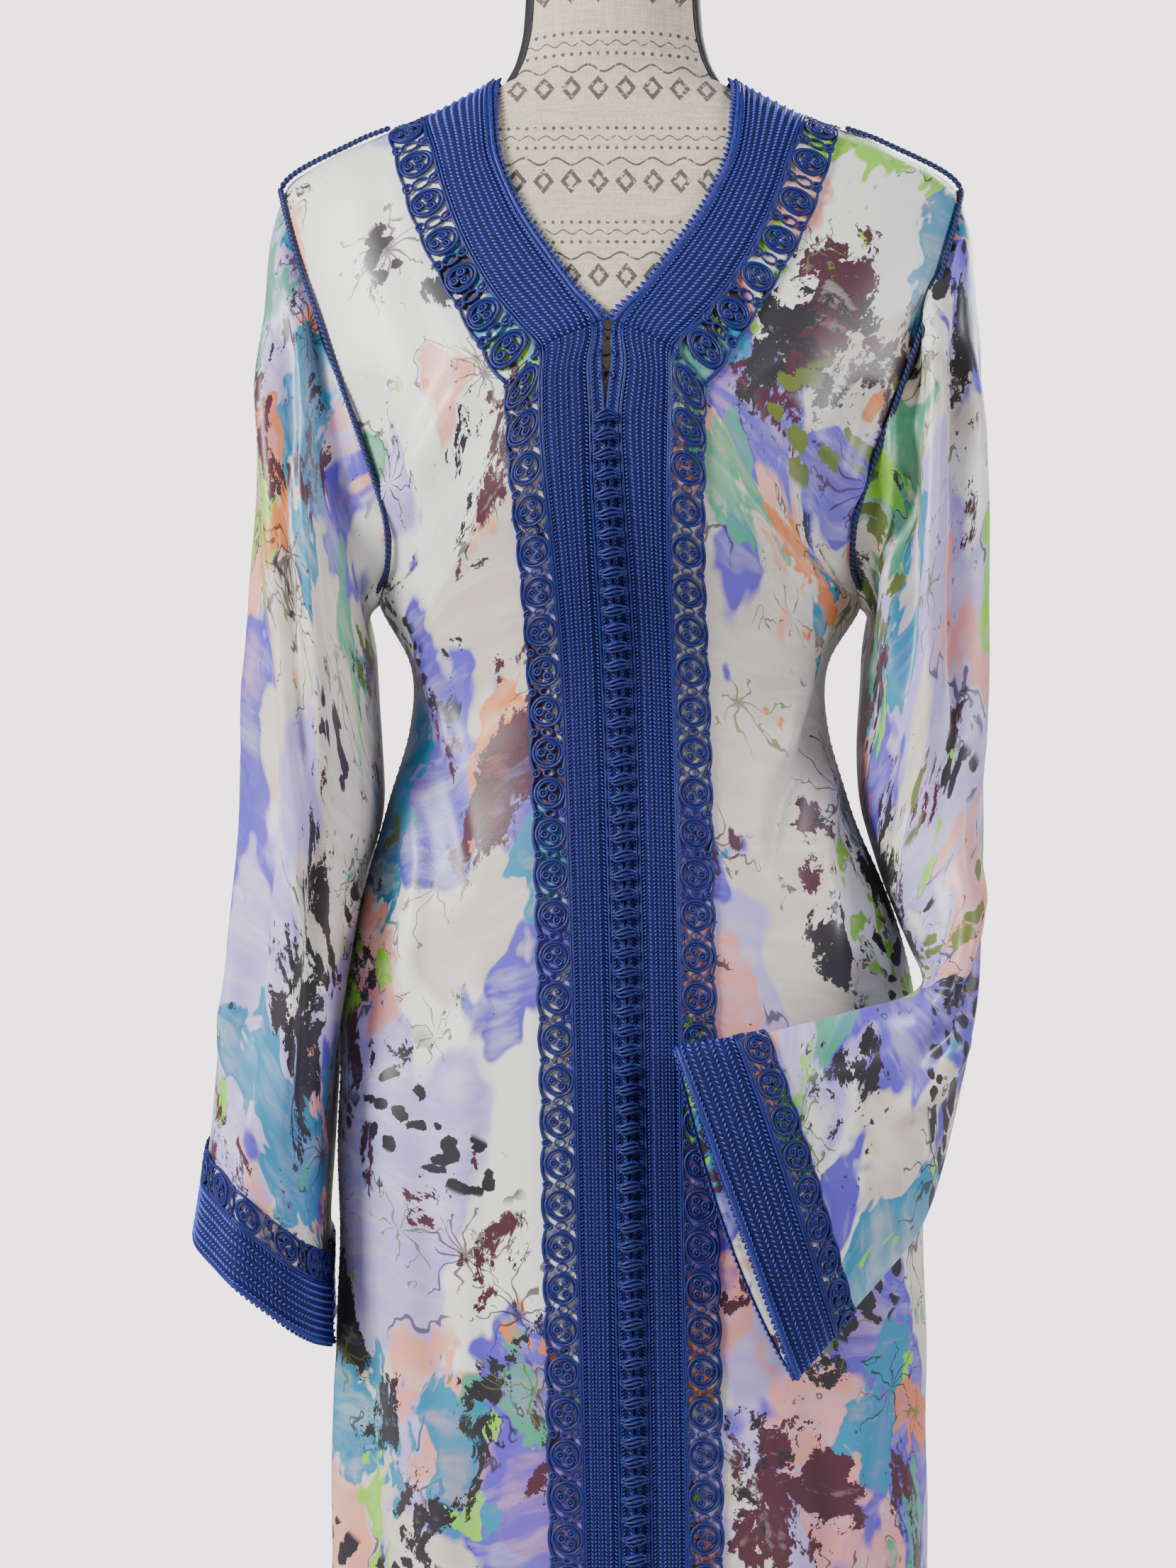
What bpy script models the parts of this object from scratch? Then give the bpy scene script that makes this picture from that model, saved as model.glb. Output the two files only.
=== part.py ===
"""Moroccan kaftan on a limbless dress form: cloth panels, braid and lace trims, form and stand."""
import math

import bmesh
import bpy
from mathutils import Vector

COLLECTION = "moroccan_kaftan"

# Cloth and trim thicknesses, metres
SATIN_WALL = 0.0014
SEAM_GAP = 0.0002
TRIM_LIFT = 0.0010
LACE_LIFT = 0.0018
BRAID_EDGE = 0.0018
BRAID_RIDGE = 0.0026
LACE_HEIGHT = 0.0021
CORD_RADIUS = 0.0016
ARMHOLE_LIFT = 0.0019
SHOULDER_LIFT = 0.0005
SECTION_POWER = 2.2

# Body sections from hem to neck
BODY_COLUMNS = ("z", "half_width", "centre_x", "front", "back")
BODY = (
    (0.055, 0.200, 0.014, 0.152, 0.158),
    (0.500, 0.185, 0.012, 0.137, 0.144),
    (0.720, 0.184, 0.012, 0.130, 0.139),
    (0.850, 0.183, 0.011, 0.123, 0.132),
    (0.950, 0.160, 0.007, 0.112, 0.113),
    (1.000, 0.142, 0.005, 0.106, 0.097),
    (1.060, 0.131, 0.005, 0.104, 0.086),
    (1.112, 0.153, 0.005, 0.116, 0.090),
    (1.170, 0.178, 0.005, 0.130, 0.097),
    (1.240, 0.204, 0.006, 0.124, 0.101),
    (1.280, 0.214, 0.006, 0.111, 0.098),
    (1.330, 0.219, 0.006, 0.092, 0.091),
    (1.375, 0.2145, 0.006, 0.074, 0.080),
    (1.405, 0.166, 0.005, 0.064, 0.071),
    (1.4225, 0.119, 0.003, 0.057, 0.067),
    (1.446, 0.0765, 0.002, 0.048, 0.061),
    (1.470, 0.062, 0.001, 0.046, 0.058),
)

# Skirt folds: ridge angle from the front centre, its width, and how far it stands out at the hem
FOLDS = (
    (27.0, 6.0, 0.0040),
    (45.0, 7.0, 0.0060),
    (64.0, 6.0, 0.0080),
    (82.0, 7.0, 0.0060),
    (101.0, 8.0, 0.0085),
    (124.0, 9.0, 0.0100),
    (147.0, 8.0, 0.0080),
    (168.0, 8.0, 0.0090),
    (-31.0, 6.0, 0.0035),
    (-50.0, 7.0, 0.0065),
    (-67.0, 6.0, 0.0060),
    (-84.0, 7.0, 0.0070),
    (-106.0, 9.0, 0.0090),
    (-130.0, 8.0, 0.0085),
    (-152.0, 9.0, 0.0100),
)
FOLD_START = 1.02
FOLD_FULL = 0.45

# Centre front line, x at each height
CENTRE_LINE = (
    (0.055, 0.0180),
    (0.526, 0.0143),
    (0.714, 0.0110),
    (0.855, 0.0087),
    (1.045, 0.0041),
    (1.225, -0.0045),
    (1.279, -0.0030),
    (1.340, -0.0010),
    (1.446, 0.0020),
)
BUTTON_TOP = 1.2265
BRAID_INNER = 0.0078
SLIT_HALF = 0.0026

# Front panel rows from hem to shoulder: z and distance from the centre line at three lines,
# then the height at the side seam or armhole
FRONT_COLUMNS = ("centre_z", "centre_half", "braid_z", "braid_half", "lace_z", "lace_half", "side_z")
FRONT_ROWS = (
    (0.055, 0.0002, 0.055, 0.0290, 0.055, 0.0510, 0.055),
    (0.190, 0.0002, 0.190, 0.0292, 0.190, 0.0512, 0.190),
    (0.330, 0.0002, 0.330, 0.0295, 0.330, 0.0515, 0.330),
    (0.470, 0.0002, 0.470, 0.0299, 0.470, 0.0519, 0.470),
    (0.600, 0.0002, 0.600, 0.0304, 0.600, 0.0524, 0.600),
    (0.710, 0.0002, 0.710, 0.0308, 0.710, 0.0528, 0.710),
    (0.805, 0.0002, 0.805, 0.0312, 0.805, 0.0532, 0.805),
    (0.890, 0.0002, 0.889, 0.0318, 0.888, 0.0538, 0.882),
    (0.960, 0.0002, 0.958, 0.0324, 0.956, 0.0544, 0.938),
    (1.022, 0.0002, 1.019, 0.0328, 1.017, 0.0548, 0.984),
    (1.080, 0.0002, 1.076, 0.0332, 1.073, 0.0552, 1.032),
    (1.138, 0.0002, 1.133, 0.0342, 1.128, 0.0560, 1.075),
    (1.188, 0.0002, 1.181, 0.0366, 1.173, 0.0582, 1.112),
    (1.225, 0.0002, 1.214, 0.0382, 1.200, 0.0598, 1.117),
    (1.254, 0.0026, 1.240, 0.0388, 1.220, 0.0606, 1.132),
    (1.279, 0.0034, 1.262, 0.0392, 1.238, 0.0622, 1.160),
    (1.3000, 0.0213, 1.2768, 0.0515, 1.2548, 0.0730, 1.190),
    (1.3230, 0.0380, 1.2969, 0.0683, 1.2810, 0.0885, 1.222),
    (1.3480, 0.0547, 1.3215, 0.0836, 1.3082, 0.1040, 1.255),
    (1.3700, 0.0658, 1.3436, 0.0943, 1.3323, 0.1166, 1.288),
    (1.3915, 0.0735, 1.3680, 0.1035, 1.3567, 0.1265, 1.318),
    (1.4135, 0.0762, 1.3900, 0.1100, 1.3800, 0.1335, 1.345),
    (1.4320, 0.0775, 1.4095, 0.1165, 1.4005, 0.1395, 1.363),
    (1.4460, 0.0765, 1.4225, 0.1190, 1.4143, 0.1420, 1.375),
)
MITRE_ROW = 15
UNDERARM_ROW = 12
BUTTON_ROW = 13
SIDE_STEPS = 7
NECK_EDGE_SHARE = 0.07

# Distance of the armhole seam from the body's centre at each height
ARMHOLE_COLUMNS = ("z", "front", "back")
ARMHOLE = (
    (1.112, 0.1530, 0.1530),
    (1.117, 0.1490, 0.1500),
    (1.132, 0.1435, 0.1490),
    (1.160, 0.1435, 0.1510),
    (1.190, 0.1525, 0.1610),
    (1.222, 0.1645, 0.1730),
    (1.255, 0.1770, 0.1840),
    (1.288, 0.1890, 0.1940),
    (1.318, 0.2000, 0.2025),
    (1.345, 0.2075, 0.2085),
    (1.363, 0.2115, 0.2118),
    (1.375, 0.2145, 0.2145),
)

# Back neck lines from the centre back to the shoulder: z and distance from the centre
NECK_LINES = (
    (1.4305, 0.0000, 1.3925, 0.0000, 1.3700, 0.0000),
    (1.4310, 0.0215, 1.3935, 0.0320, 1.3710, 0.0385),
    (1.4335, 0.0430, 1.3980, 0.0640, 1.3770, 0.0765),
    (1.4380, 0.0605, 1.4060, 0.0930, 1.3905, 0.1110),
    (1.4430, 0.0715, 1.4165, 0.1110, 1.4050, 0.1320),
    (1.4460, 0.0765, 1.4225, 0.1190, 1.4143, 0.1420),
)
BACK_OUTER_STEPS = 3
BACK_BLEND_START = 1.275

# Back rows below the neck lace: z at the centre and at the side
BACK_ROWS = (
    (0.055, 0.055),
    (0.190, 0.190),
    (0.330, 0.330),
    (0.470, 0.470),
    (0.600, 0.600),
    (0.710, 0.710),
    (0.805, 0.805),
    (0.882, 0.882),
    (0.940, 0.938),
    (0.988, 0.984),
    (1.040, 1.032),
    (1.090, 1.075),
    (1.132, 1.112),
    (1.156, 1.117),
    (1.180, 1.132),
    (1.204, 1.160),
    (1.228, 1.190),
    (1.252, 1.222),
    (1.276, 1.255),
    (1.299, 1.288),
    (1.320, 1.318),
    (1.341, 1.345),
    (1.357, 1.363),
)

# Sleeve sections: outer and inner edge seen from the front, middle depth, half depth,
# and how far the section is pressed flat across the front
SLEEVE_COLUMNS = ("outer_x", "outer_z", "inner_x", "inner_z", "mid_y", "half_depth", "flat")
HANGING_SLEEVE = (
    (0.2245, 1.345, 0.1660, 1.100, 0.000, 0.082, 0.0),
    (0.2280, 1.290, 0.1570, 1.062, -0.002, 0.088, 0.0),
    (0.2300, 1.225, 0.1520, 1.020, -0.004, 0.091, 0.0),
    (0.2330, 1.150, 0.1520, 0.975, -0.006, 0.092, 0.0),
    (0.2375, 1.065, 0.1600, 0.925, -0.008, 0.092, 0.0),
    (0.2420, 0.980, 0.1700, 0.870, -0.010, 0.092, 0.0),
    (0.2470, 0.895, 0.1790, 0.810, -0.012, 0.093, 0.0),
    (0.2535, 0.828, 0.1820, 0.752, -0.014, 0.094, 0.0),
    (0.2575, 0.785, 0.1815, 0.712, -0.016, 0.095, 0.0),
    (0.2625, 0.750, 0.1805, 0.679, -0.017, 0.096, 0.0),
    (0.2675, 0.7175, 0.1775, 0.6475, -0.018, 0.097, 0.0),
)
HANGING_SIDE = -1
FOLDED_SLEEVE = (
    (0.2300, 1.345, 0.1700, 1.100, 0.000, 0.082, 0.0),
    (0.2340, 1.290, 0.1610, 1.060, -0.002, 0.087, 0.0),
    (0.2350, 1.225, 0.1570, 1.020, -0.004, 0.090, 0.0),
    (0.2350, 1.150, 0.1590, 0.980, -0.006, 0.090, 0.0),
    (0.2345, 1.060, 0.1680, 0.945, -0.010, 0.088, 0.0),
    (0.2325, 0.975, 0.1790, 0.912, -0.018, 0.080, 0.06),
    (0.2270, 0.900, 0.1880, 0.890, -0.034, 0.066, 0.25),
    (0.2190, 0.845, 0.1900, 0.876, -0.052, 0.048, 0.55),
    (0.2080, 0.790, 0.1740, 0.868, -0.070, 0.030, 0.85),
    (0.1950, 0.742, 0.1500, 0.861, -0.080, 0.018, 1.0),
    (0.1780, 0.713, 0.1200, 0.854, -0.090, 0.014, 1.0),
    (0.1580, 0.692, 0.0930, 0.848, -0.100, 0.013, 1.0),
    (0.1370, 0.668, 0.0670, 0.844, -0.105, 0.013, 1.0),
    (0.1100, 0.640, 0.0380, 0.839, -0.110, 0.013, 1.0),
)
FOLDED_SIDE = 1
SLEEVE_CLEAR = 0.0030
CUFF_CLEAR = 0.0068
CAP_BLEND = (0.50, 0.82)
FOLDED_CLEAR = 0.0085
SLEEVE_FOLDS = (
    (38.0, 14.0, 0.0035),
    (78.0, 12.0, 0.0045),
    (118.0, 14.0, 0.0035),
    (222.0, 16.0, 0.0040),
    (268.0, 14.0, 0.0050),
    (318.0, 14.0, 0.0035),
)
CUFF_BRAID_WIDTH = 0.036
CUFF_LACE_WIDTH = 0.021

# Trims
LACE_PITCH = 0.0272
LACE_VALLEY = 0.70
LACE_SHOULDER = 0.27
HOLE_ALONG = 0.31
HOLE_ACROSS = 0.29
HOLE_MIDDLE = 0.47
BUTTON_PITCH = 0.0118
BUTTON_HALF = 0.0050
BUTTON_HEIGHT = 0.0046
LOOP_HALF = 0.0031
LOOP_HEIGHT = 0.0016

# Dress form and stand
FORM_EASE = 0.0044
FORM_SKIRT_EASE = 0.0060
FORM_TIP_EASE = 0.0045
FORM_REST = (1.390, 1.412)
FORM_REST_GAP = 0.0008
FORM_BOTTOM = 0.720
FORM_TOP = 1.449
NECK_RINGS = (
    (1.4440, 0.0690, 0.0490),
    (1.4580, 0.0615, 0.0505),
    (1.4800, 0.0565, 0.0515),
    (1.5250, 0.0540, 0.0510),
)
NECK_CAP = (
    (1.5254, 0.0560, 0.0530),
    (1.5300, 0.0565, 0.0535),
    (1.5350, 0.0520, 0.0490),
    (1.5375, 0.0300, 0.0280),
)
FORM_SEGMENTS = 24
POLE_RADIUS = 0.0140
POLE_SEGMENTS = 16
BASE_PROFILE = ((0.170, 0.000), (0.172, 0.004), (0.170, 0.009), (0.060, 0.013), (0.030, 0.022), (0.0230, 0.040))
BASE_SEGMENTS = 40


def clear_scene():
    """Remove everything and make the two collections."""
    for item in list(bpy.data.objects):
        bpy.data.objects.remove(item, do_unlink=True)
    parts = bpy.data.collections.new(COLLECTION)
    bpy.context.scene.collection.children.link(parts)
    return parts


def make_material(name, colour, roughness, metallic=0.0):
    """One plain Principled material."""
    material = bpy.data.materials.new(name)
    material.use_nodes = True
    shader = material.node_tree.nodes["Principled BSDF"]
    shader.inputs["Base Color"].default_value = (*colour, 1.0)
    shader.inputs["Roughness"].default_value = roughness
    shader.inputs["Metallic"].default_value = metallic
    return material


def table_value(rows, key, column):
    """Smooth value of a table's column at a key in its first column."""
    if key <= rows[0][0]:
        return rows[0][column]
    if key >= rows[-1][0]:
        return rows[-1][column]
    index = 0
    while rows[index + 1][0] < key:
        index += 1
    low, high = rows[index], rows[index + 1]
    span = high[0] - low[0]
    share = (key - low[0]) / span
    rise = (high[column] - low[column]) / span

    def slope(middle):
        """Slope at a row, held between its neighbours' slopes."""
        if middle == 0 or middle == len(rows) - 1:
            return rise
        before, here, after = rows[middle - 1], rows[middle], rows[middle + 1]
        left = (here[column] - before[column]) / (here[0] - before[0])
        right = (after[column] - here[column]) / (after[0] - here[0])
        if left * right <= 0.0:
            return 0.0
        return 2.0 * left * right / (left + right)

    start, end = slope(index) * span, slope(index + 1) * span
    a = low[column]
    b = high[column]
    s2 = share * share
    s3 = s2 * share
    return (2 * s3 - 3 * s2 + 1) * a + (s3 - 2 * s2 + share) * start + (3 * s2 - 2 * s3) * b + (s3 - s2) * end


def signed_power(value, power):
    """Power that keeps the sign."""
    return math.copysign(abs(value) ** power, value)


def fold_height(angle, z):
    """How far the skirt's folds stand out at an angle in degrees and a height."""
    reach = min(1.0, max(0.0, (FOLD_START - z) / (FOLD_START - FOLD_FULL)))
    reach = reach * reach * (3.0 - 2.0 * reach)
    total = 0.0
    for ridge, width, depth in FOLDS:
        away = (angle - ridge + 180.0) % 360.0 - 180.0
        total += depth * math.exp(-((away / width) ** 2))
    return total * reach


def body_point(angle, z, folds=True):
    """Outer cloth point of the body at an angle in degrees (0 front, 90 wearer's left)."""
    half = table_value(BODY, z, 1)
    centre = table_value(BODY, z, 2)
    turn = math.radians(angle)
    s, c = math.sin(turn), math.cos(turn)
    depth = table_value(BODY, z, 3 if c > 0.0 else 4)
    x = centre + half * signed_power(s, 2.0 / SECTION_POWER)
    y = -depth * signed_power(c, 2.0 / SECTION_POWER)
    bump = fold_height(angle, z) if folds else 0.0
    return Vector((x + bump * s, y - bump * c, z))


def body_normal(angle, z, folds=True):
    """Outward direction of the body's cloth."""
    across = body_point(angle + 1.5, z, folds) - body_point(angle - 1.5, z, folds)
    up = body_point(angle, z + 0.004, folds) - body_point(angle, z - 0.004, folds)
    return across.cross(up).normalized()


def angle_at(x, z, back=False):
    """Angle of the body point with this x on the front or back."""
    share = (x - table_value(BODY, z, 2)) / table_value(BODY, z, 1)
    share = max(-1.0, min(1.0, share))
    turn = math.degrees(math.asin(signed_power(share, SECTION_POWER / 2.0)))
    if back:
        turn = math.copysign(180.0, turn if turn else 1.0) - turn
    return turn


def front_depth(x, z):
    """How far forward the body's front is at x and z."""
    half = table_value(BODY, z, 1)
    share = min(1.0, abs((x - table_value(BODY, z, 2)) / half))
    return table_value(BODY, z, 3) * (1.0 - share ** SECTION_POWER) ** (1.0 / SECTION_POWER)


class Patch:
    """A grid of cloth points with their outward directions."""

    def __init__(self, points, normals):
        self.points = points
        self.normals = normals
        self.rows = len(points)
        self.columns = len(points[0])

    def faces(self):
        """Triangles as grid index pairs; each cell is cut from its low corner to its high one."""
        out = []
        for row in range(self.rows - 1):
            for column in range(self.columns - 1):
                a = (row, column)
                b = (row, column + 1)
                c = (row + 1, column + 1)
                d = (row + 1, column)
                out.append((a, b, c))
                out.append((a, c, d))
        return out

    def blend(self, grid, u, v):
        """Value of a grid on the flat triangle that holds column u and row v."""
        column = max(0, min(self.columns - 2, int(math.floor(u))))
        row = max(0, min(self.rows - 2, int(math.floor(v))))
        fu, fv = u - column, v - row
        a, b = grid[row][column], grid[row][column + 1]
        c, d = grid[row + 1][column + 1], grid[row + 1][column]
        if fu >= fv:
            return a + (b - a) * fu + (c - b) * fv
        return a + (d - a) * fv + (c - d) * fu

    def point(self, u, v):
        """Point on the cloth's flat faces."""
        return self.blend(self.points, u, v)

    def normal(self, u, v):
        """Outward direction there."""
        return self.blend(self.normals, u, v).normalized()


def build_mesh(name, points, faces, material, parts):
    """Mesh object from points and faces, with its faces turned outward."""
    mesh = bpy.data.meshes.new(name)
    mesh.from_pydata([tuple(point) for point in points], [], faces)
    shape = bmesh.new()
    shape.from_mesh(mesh)
    bmesh.ops.recalc_face_normals(shape, faces=shape.faces)
    shape.to_mesh(mesh)
    shape.free()
    mesh.materials.append(material)
    item = bpy.data.objects.new(name, mesh)
    parts.objects.link(item)
    return item


def thick_sheet(name, corners, material, parts):
    """Closed sheet from triangles whose corners are (point, direction, low, high)."""
    index = {}
    stations = []
    triangles = []
    for triangle in corners:
        ids = []
        for point, direction, low, high in triangle:
            key = tuple(round(value, 6) for value in point)
            if key not in index:
                index[key] = len(stations)
                stations.append([point, direction.copy(), low, high])
            else:
                stations[index[key]][1] += direction
            ids.append(index[key])
        if len(set(ids)) == 3:
            triangles.append(ids)
    count = len(stations)
    tops = []
    bottoms = []
    for point, direction, low, high in stations:
        way = direction.normalized()
        tops.append(point + way * high)
        bottoms.append(point + way * low)
    faces = []
    edges = {}
    for a, b, c in triangles:
        faces.append((a, b, c))
        faces.append((a + count, c + count, b + count))
        for start, end in ((a, b), (b, c), (c, a)):
            edges[(start, end)] = True
    for start, end in edges:
        if (end, start) not in edges:
            faces.append((start, start + count, end + count))
            faces.append((start, end + count, end))
    return build_mesh(name, tops + bottoms, faces, material, parts)


def cloth(name, patches, material, parts):
    """Cloth sheet whose outer face is the patches' own points."""
    corners = []
    for patch in patches:
        for face in patch.faces():
            corners.append([(patch.points[r][c], patch.normals[r][c], -SATIN_WALL, 0.0) for r, c in face])
    return thick_sheet(name, corners, material, parts)


def centre_x(z):
    """X of the centre front line."""
    return table_value(CENTRE_LINE, z, 1)


def armhole_angle(z, side, back):
    """Angle of the armhole seam at a height."""
    if z <= ARMHOLE[0][0] + 1e-6 or z >= ARMHOLE[-1][0] - 1e-6:
        return 90.0 * side
    offset = table_value(ARMHOLE, z, 2 if back else 1)
    return angle_at(table_value(BODY, z, 2) + side * offset, z, back)


def front_patch(side):
    """Front panel of one side, columns from the centre edge to the side seam."""
    points = []
    normals = []
    last = len(FRONT_ROWS) - 1
    for number, row in enumerate(FRONT_ROWS):
        inner_z, inner_half, braid_z, braid_half, lace_z, lace_half, side_z = row
        inner = (angle_at(centre_x(inner_z) + side * inner_half, inner_z), inner_z)
        braid = (angle_at(centre_x(braid_z) + side * braid_half, braid_z), braid_z)
        lace = (angle_at(centre_x(lace_z) + side * lace_half, lace_z), lace_z)
        if number == last:
            inner = (90.0 * side, inner_z)
            braid = (90.0 * side, braid_z)
            lace = (90.0 * side, lace_z)
        edge = (armhole_angle(side_z, side, False), side_z)
        share = BRAID_INNER / braid_half if number < MITRE_ROW else NECK_EDGE_SHARE
        if number == MITRE_ROW:
            share = 0.5 * (share + BRAID_INNER / braid_half)
        near = (inner[0] + (braid[0] - inner[0]) * share, inner[1] + (braid[1] - inner[1]) * share)
        line = [inner, near, braid, lace]
        for step in range(1, SIDE_STEPS + 1):
            part = step / SIDE_STEPS
            bend = 2.0 if number <= UNDERARM_ROW + 2 else max(1.0, 2.0 - 0.4 * (number - UNDERARM_ROW - 2))
            if number == UNDERARM_ROW:
                bend = 2.8
            level = 1.0 - (1.0 - part) ** bend
            line.append((lace[0] + (edge[0] - lace[0]) * part, lace[1] + (edge[1] - lace[1]) * level))
        if number == last:
            line = [(90.0 * side, z) for angle, z in line]
        row_points = []
        row_normals = []
        for column, (angle, z) in enumerate(line):
            point = body_point(angle, z)
            on_side = column == len(line) - 1 and number <= UNDERARM_ROW
            if number == last or on_side:
                point.y -= SEAM_GAP
            row_points.append(point)
            row_normals.append(body_normal(angle, z))
        points.append(row_points)
        normals.append(row_normals)
    return Patch(points, normals)


def back_grid(lines):
    """Patch from rows of (angle, z, seam) on the back."""
    points = []
    normals = []
    for line in lines:
        row_points = []
        row_normals = []
        for angle, z, seam in line:
            point = body_point(angle, z)
            if seam:
                point.y += SEAM_GAP
            row_points.append(point)
            row_normals.append(body_normal(angle, z))
        points.append(row_points)
        normals.append(row_normals)
    return Patch(points, normals)


def back_angle(offset, z, side):
    """Angle on the back at a distance from the centre."""
    if offset <= 0.0:
        return 180.0
    turn = angle_at(table_value(BODY, z, 2) + side * offset, z, True)
    return turn % 360.0


def back_patches():
    """Back panel: the body grid and the neck band above it. Angles run from 90 to 270."""
    top = []
    for side in (1, -1):
        half = []
        for number, (neck_z, neck_half, braid_z, braid_half, lace_z, lace_half) in enumerate(NECK_LINES):
            seam = number == len(NECK_LINES) - 1
            angle = (90.0 * side) % 360.0 if seam else back_angle(lace_half, lace_z, side)
            half.append((angle, lace_z, seam))
        tip_z = ARMHOLE[-1][0]
        shoulder_z = NECK_LINES[-1][4]
        for step in range(1, BACK_OUTER_STEPS + 1):
            z = shoulder_z + (tip_z - shoulder_z) * step / BACK_OUTER_STEPS
            half.append(((90.0 * side) % 360.0, z, True))
        top.append(half)
    top_row = list(reversed(top[0])) + top[1][1:]
    steps = len(top[0]) - 1
    lines = []
    for centre_z, side_z in BACK_ROWS:
        line = []
        seam = side_z <= ARMHOLE[0][0] + 1e-6
        left = armhole_angle(side_z, 1, True)
        right = armhole_angle(side_z, -1, True) % 360.0
        tip_z = ARMHOLE[-1][0]
        follow = max(0.0, (side_z - BACK_BLEND_START) / (tip_z - BACK_BLEND_START))
        for step in range(-steps, steps + 1):
            part = abs(step) / steps
            level = 1.0 - (1.0 - part) ** 2
            z = centre_z + (side_z - centre_z) * level
            angle = 180.0 + ((left if step < 0 else right) - 180.0) * part
            if abs(step) < steps:
                top_angle, top_z, on_seam = top_row[step + steps]
                edge = left if step < 0 else right
                angle += (top_angle - angle) * follow
                angle = max(angle, edge) if step < 0 else min(angle, edge)
                z += (top_z - z) * follow
            line.append((angle, z, seam and abs(step) == steps))
        lines.append(line)
    lines.append(top_row)
    body = back_grid(lines)
    bands = []
    for name in ("neck", "edge", "braid", "lace"):
        line = []
        for side in (1, -1):
            half = []
            for number, row in enumerate(NECK_LINES):
                seam = number == len(NECK_LINES) - 1
                neck_z, neck_half, braid_z, braid_half, lace_z, lace_half = row
                if name == "neck":
                    z, offset = neck_z, neck_half
                elif name == "edge":
                    z = neck_z + (braid_z - neck_z) * NECK_EDGE_SHARE
                    offset = neck_half + (braid_half - neck_half) * NECK_EDGE_SHARE
                elif name == "braid":
                    z, offset = braid_z, braid_half
                else:
                    z, offset = lace_z, lace_half
                angle = (90.0 * side) % 360.0 if seam else back_angle(offset, z, side)
                half.append((angle, z, seam))
            if side == 1:
                line.extend(reversed(half))
            else:
                line.extend(half[1:])
        bands.append(line)
    band_columns = [[bands[0][k], bands[1][k], bands[2][k], bands[3][k]] for k in range(len(bands[0]))]
    collar = back_grid(band_columns)
    return body, collar


def armhole_loop(side):
    """Armhole seam points and directions from the shoulder tip by the front, underarm and back."""
    heights = [row[0] for row in reversed(ARMHOLE)]
    path = [(armhole_angle(z, side, False), z) for z in heights]
    path += [(armhole_angle(z, side, True), z) for z in reversed(heights[:-1])]
    points = [body_point(angle, z) for angle, z in path]
    normals = [body_normal(angle, z) for angle, z in path]
    return points, normals


def sleeve_angles(side):
    """Ring angles that spread the armhole's points evenly by length."""
    points, normals = armhole_loop(side)
    low = len(ARMHOLE) - 1
    turns = [0.0]
    for start, end, base in ((0, low, 0.0), (low, len(points) - 1, 180.0)):
        lengths = [(points[k + 1] - points[k]).length for k in range(start, end)]
        total = sum(lengths)
        run = 0.0
        for length in lengths:
            run += length
            turns.append(base + 180.0 * run / total)
    return turns


def sleeve_fold(turn, share, flat):
    """Height of the sleeve's soft folds."""
    total = 0.0
    for ridge, width, depth in SLEEVE_FOLDS:
        away = (turn - ridge + 180.0) % 360.0 - 180.0
        total += depth * math.exp(-((away / width) ** 2))
    return total * min(1.0, 2.2 * share) * (1.0 - 0.75 * flat)


def pushed_clear(point, clear):
    """Move a point out of the body's own cloth by a clearance."""
    z = point.z
    half = table_value(BODY, z, 1)
    centre = table_value(BODY, z, 2)
    depth = table_value(BODY, z, 3 if point.y < 0.0 else 4)
    dx, dy = point.x - centre, point.y
    share = (abs(dx / half) ** SECTION_POWER + abs(dy / depth) ** SECTION_POWER) ** (1.0 / SECTION_POWER)
    reach = math.hypot(dx, dy)
    edge = reach / max(share, 1e-6)
    angle = math.degrees(math.atan2(dx / half, -dy / depth))
    need = edge + fold_height(angle, z) + clear
    if reach < need:
        scale = need / max(reach, 1e-6)
        return Vector((centre + dx * scale, dy * scale, z))
    return point


def sleeve_ring(row, turns, side, share, clear):
    """One sleeve section."""
    outer_x, outer_z, inner_x, inner_z, mid_y, half_depth, flat = row
    ring = []
    for turn in turns:
        way = math.radians(turn)
        c, s = math.cos(way), math.sin(way)
        fold = sleeve_fold(turn, share, flat)
        mid_x, mid_z = 0.5 * (outer_x + inner_x), 0.5 * (outer_z + inner_z)
        arm_x, arm_z = 0.5 * (outer_x - inner_x), 0.5 * (outer_z - inner_z)
        along = signed_power(c, 0.92)
        x = mid_x + arm_x * along
        z = mid_z + arm_z * along
        depth = signed_power(s, 0.9)
        hang_y = mid_y - (half_depth + fold) * depth
        arm = max(1e-6, math.hypot(arm_x, arm_z))
        x += fold * c * arm_x / arm * (1.0 - flat)
        z += fold * c * arm_z / arm * (1.0 - flat)
        taut = 0.121 - 0.36 * max(0.0, x - 0.07)
        rest = max(front_depth(x, z), taut) + clear
        flat_y = -(rest + half_depth * (1.0 + depth) + (fold if s > 0.0 else 0.0))
        y = hang_y + (flat_y - hang_y) * flat
        ring.append(pushed_clear(Vector((x, y, z)), clear if flat > 0.5 else SLEEVE_CLEAR))
    if side < 0:
        ring = [Vector((-p.x, p.y, p.z)) for p in ring]
    return ring


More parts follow.
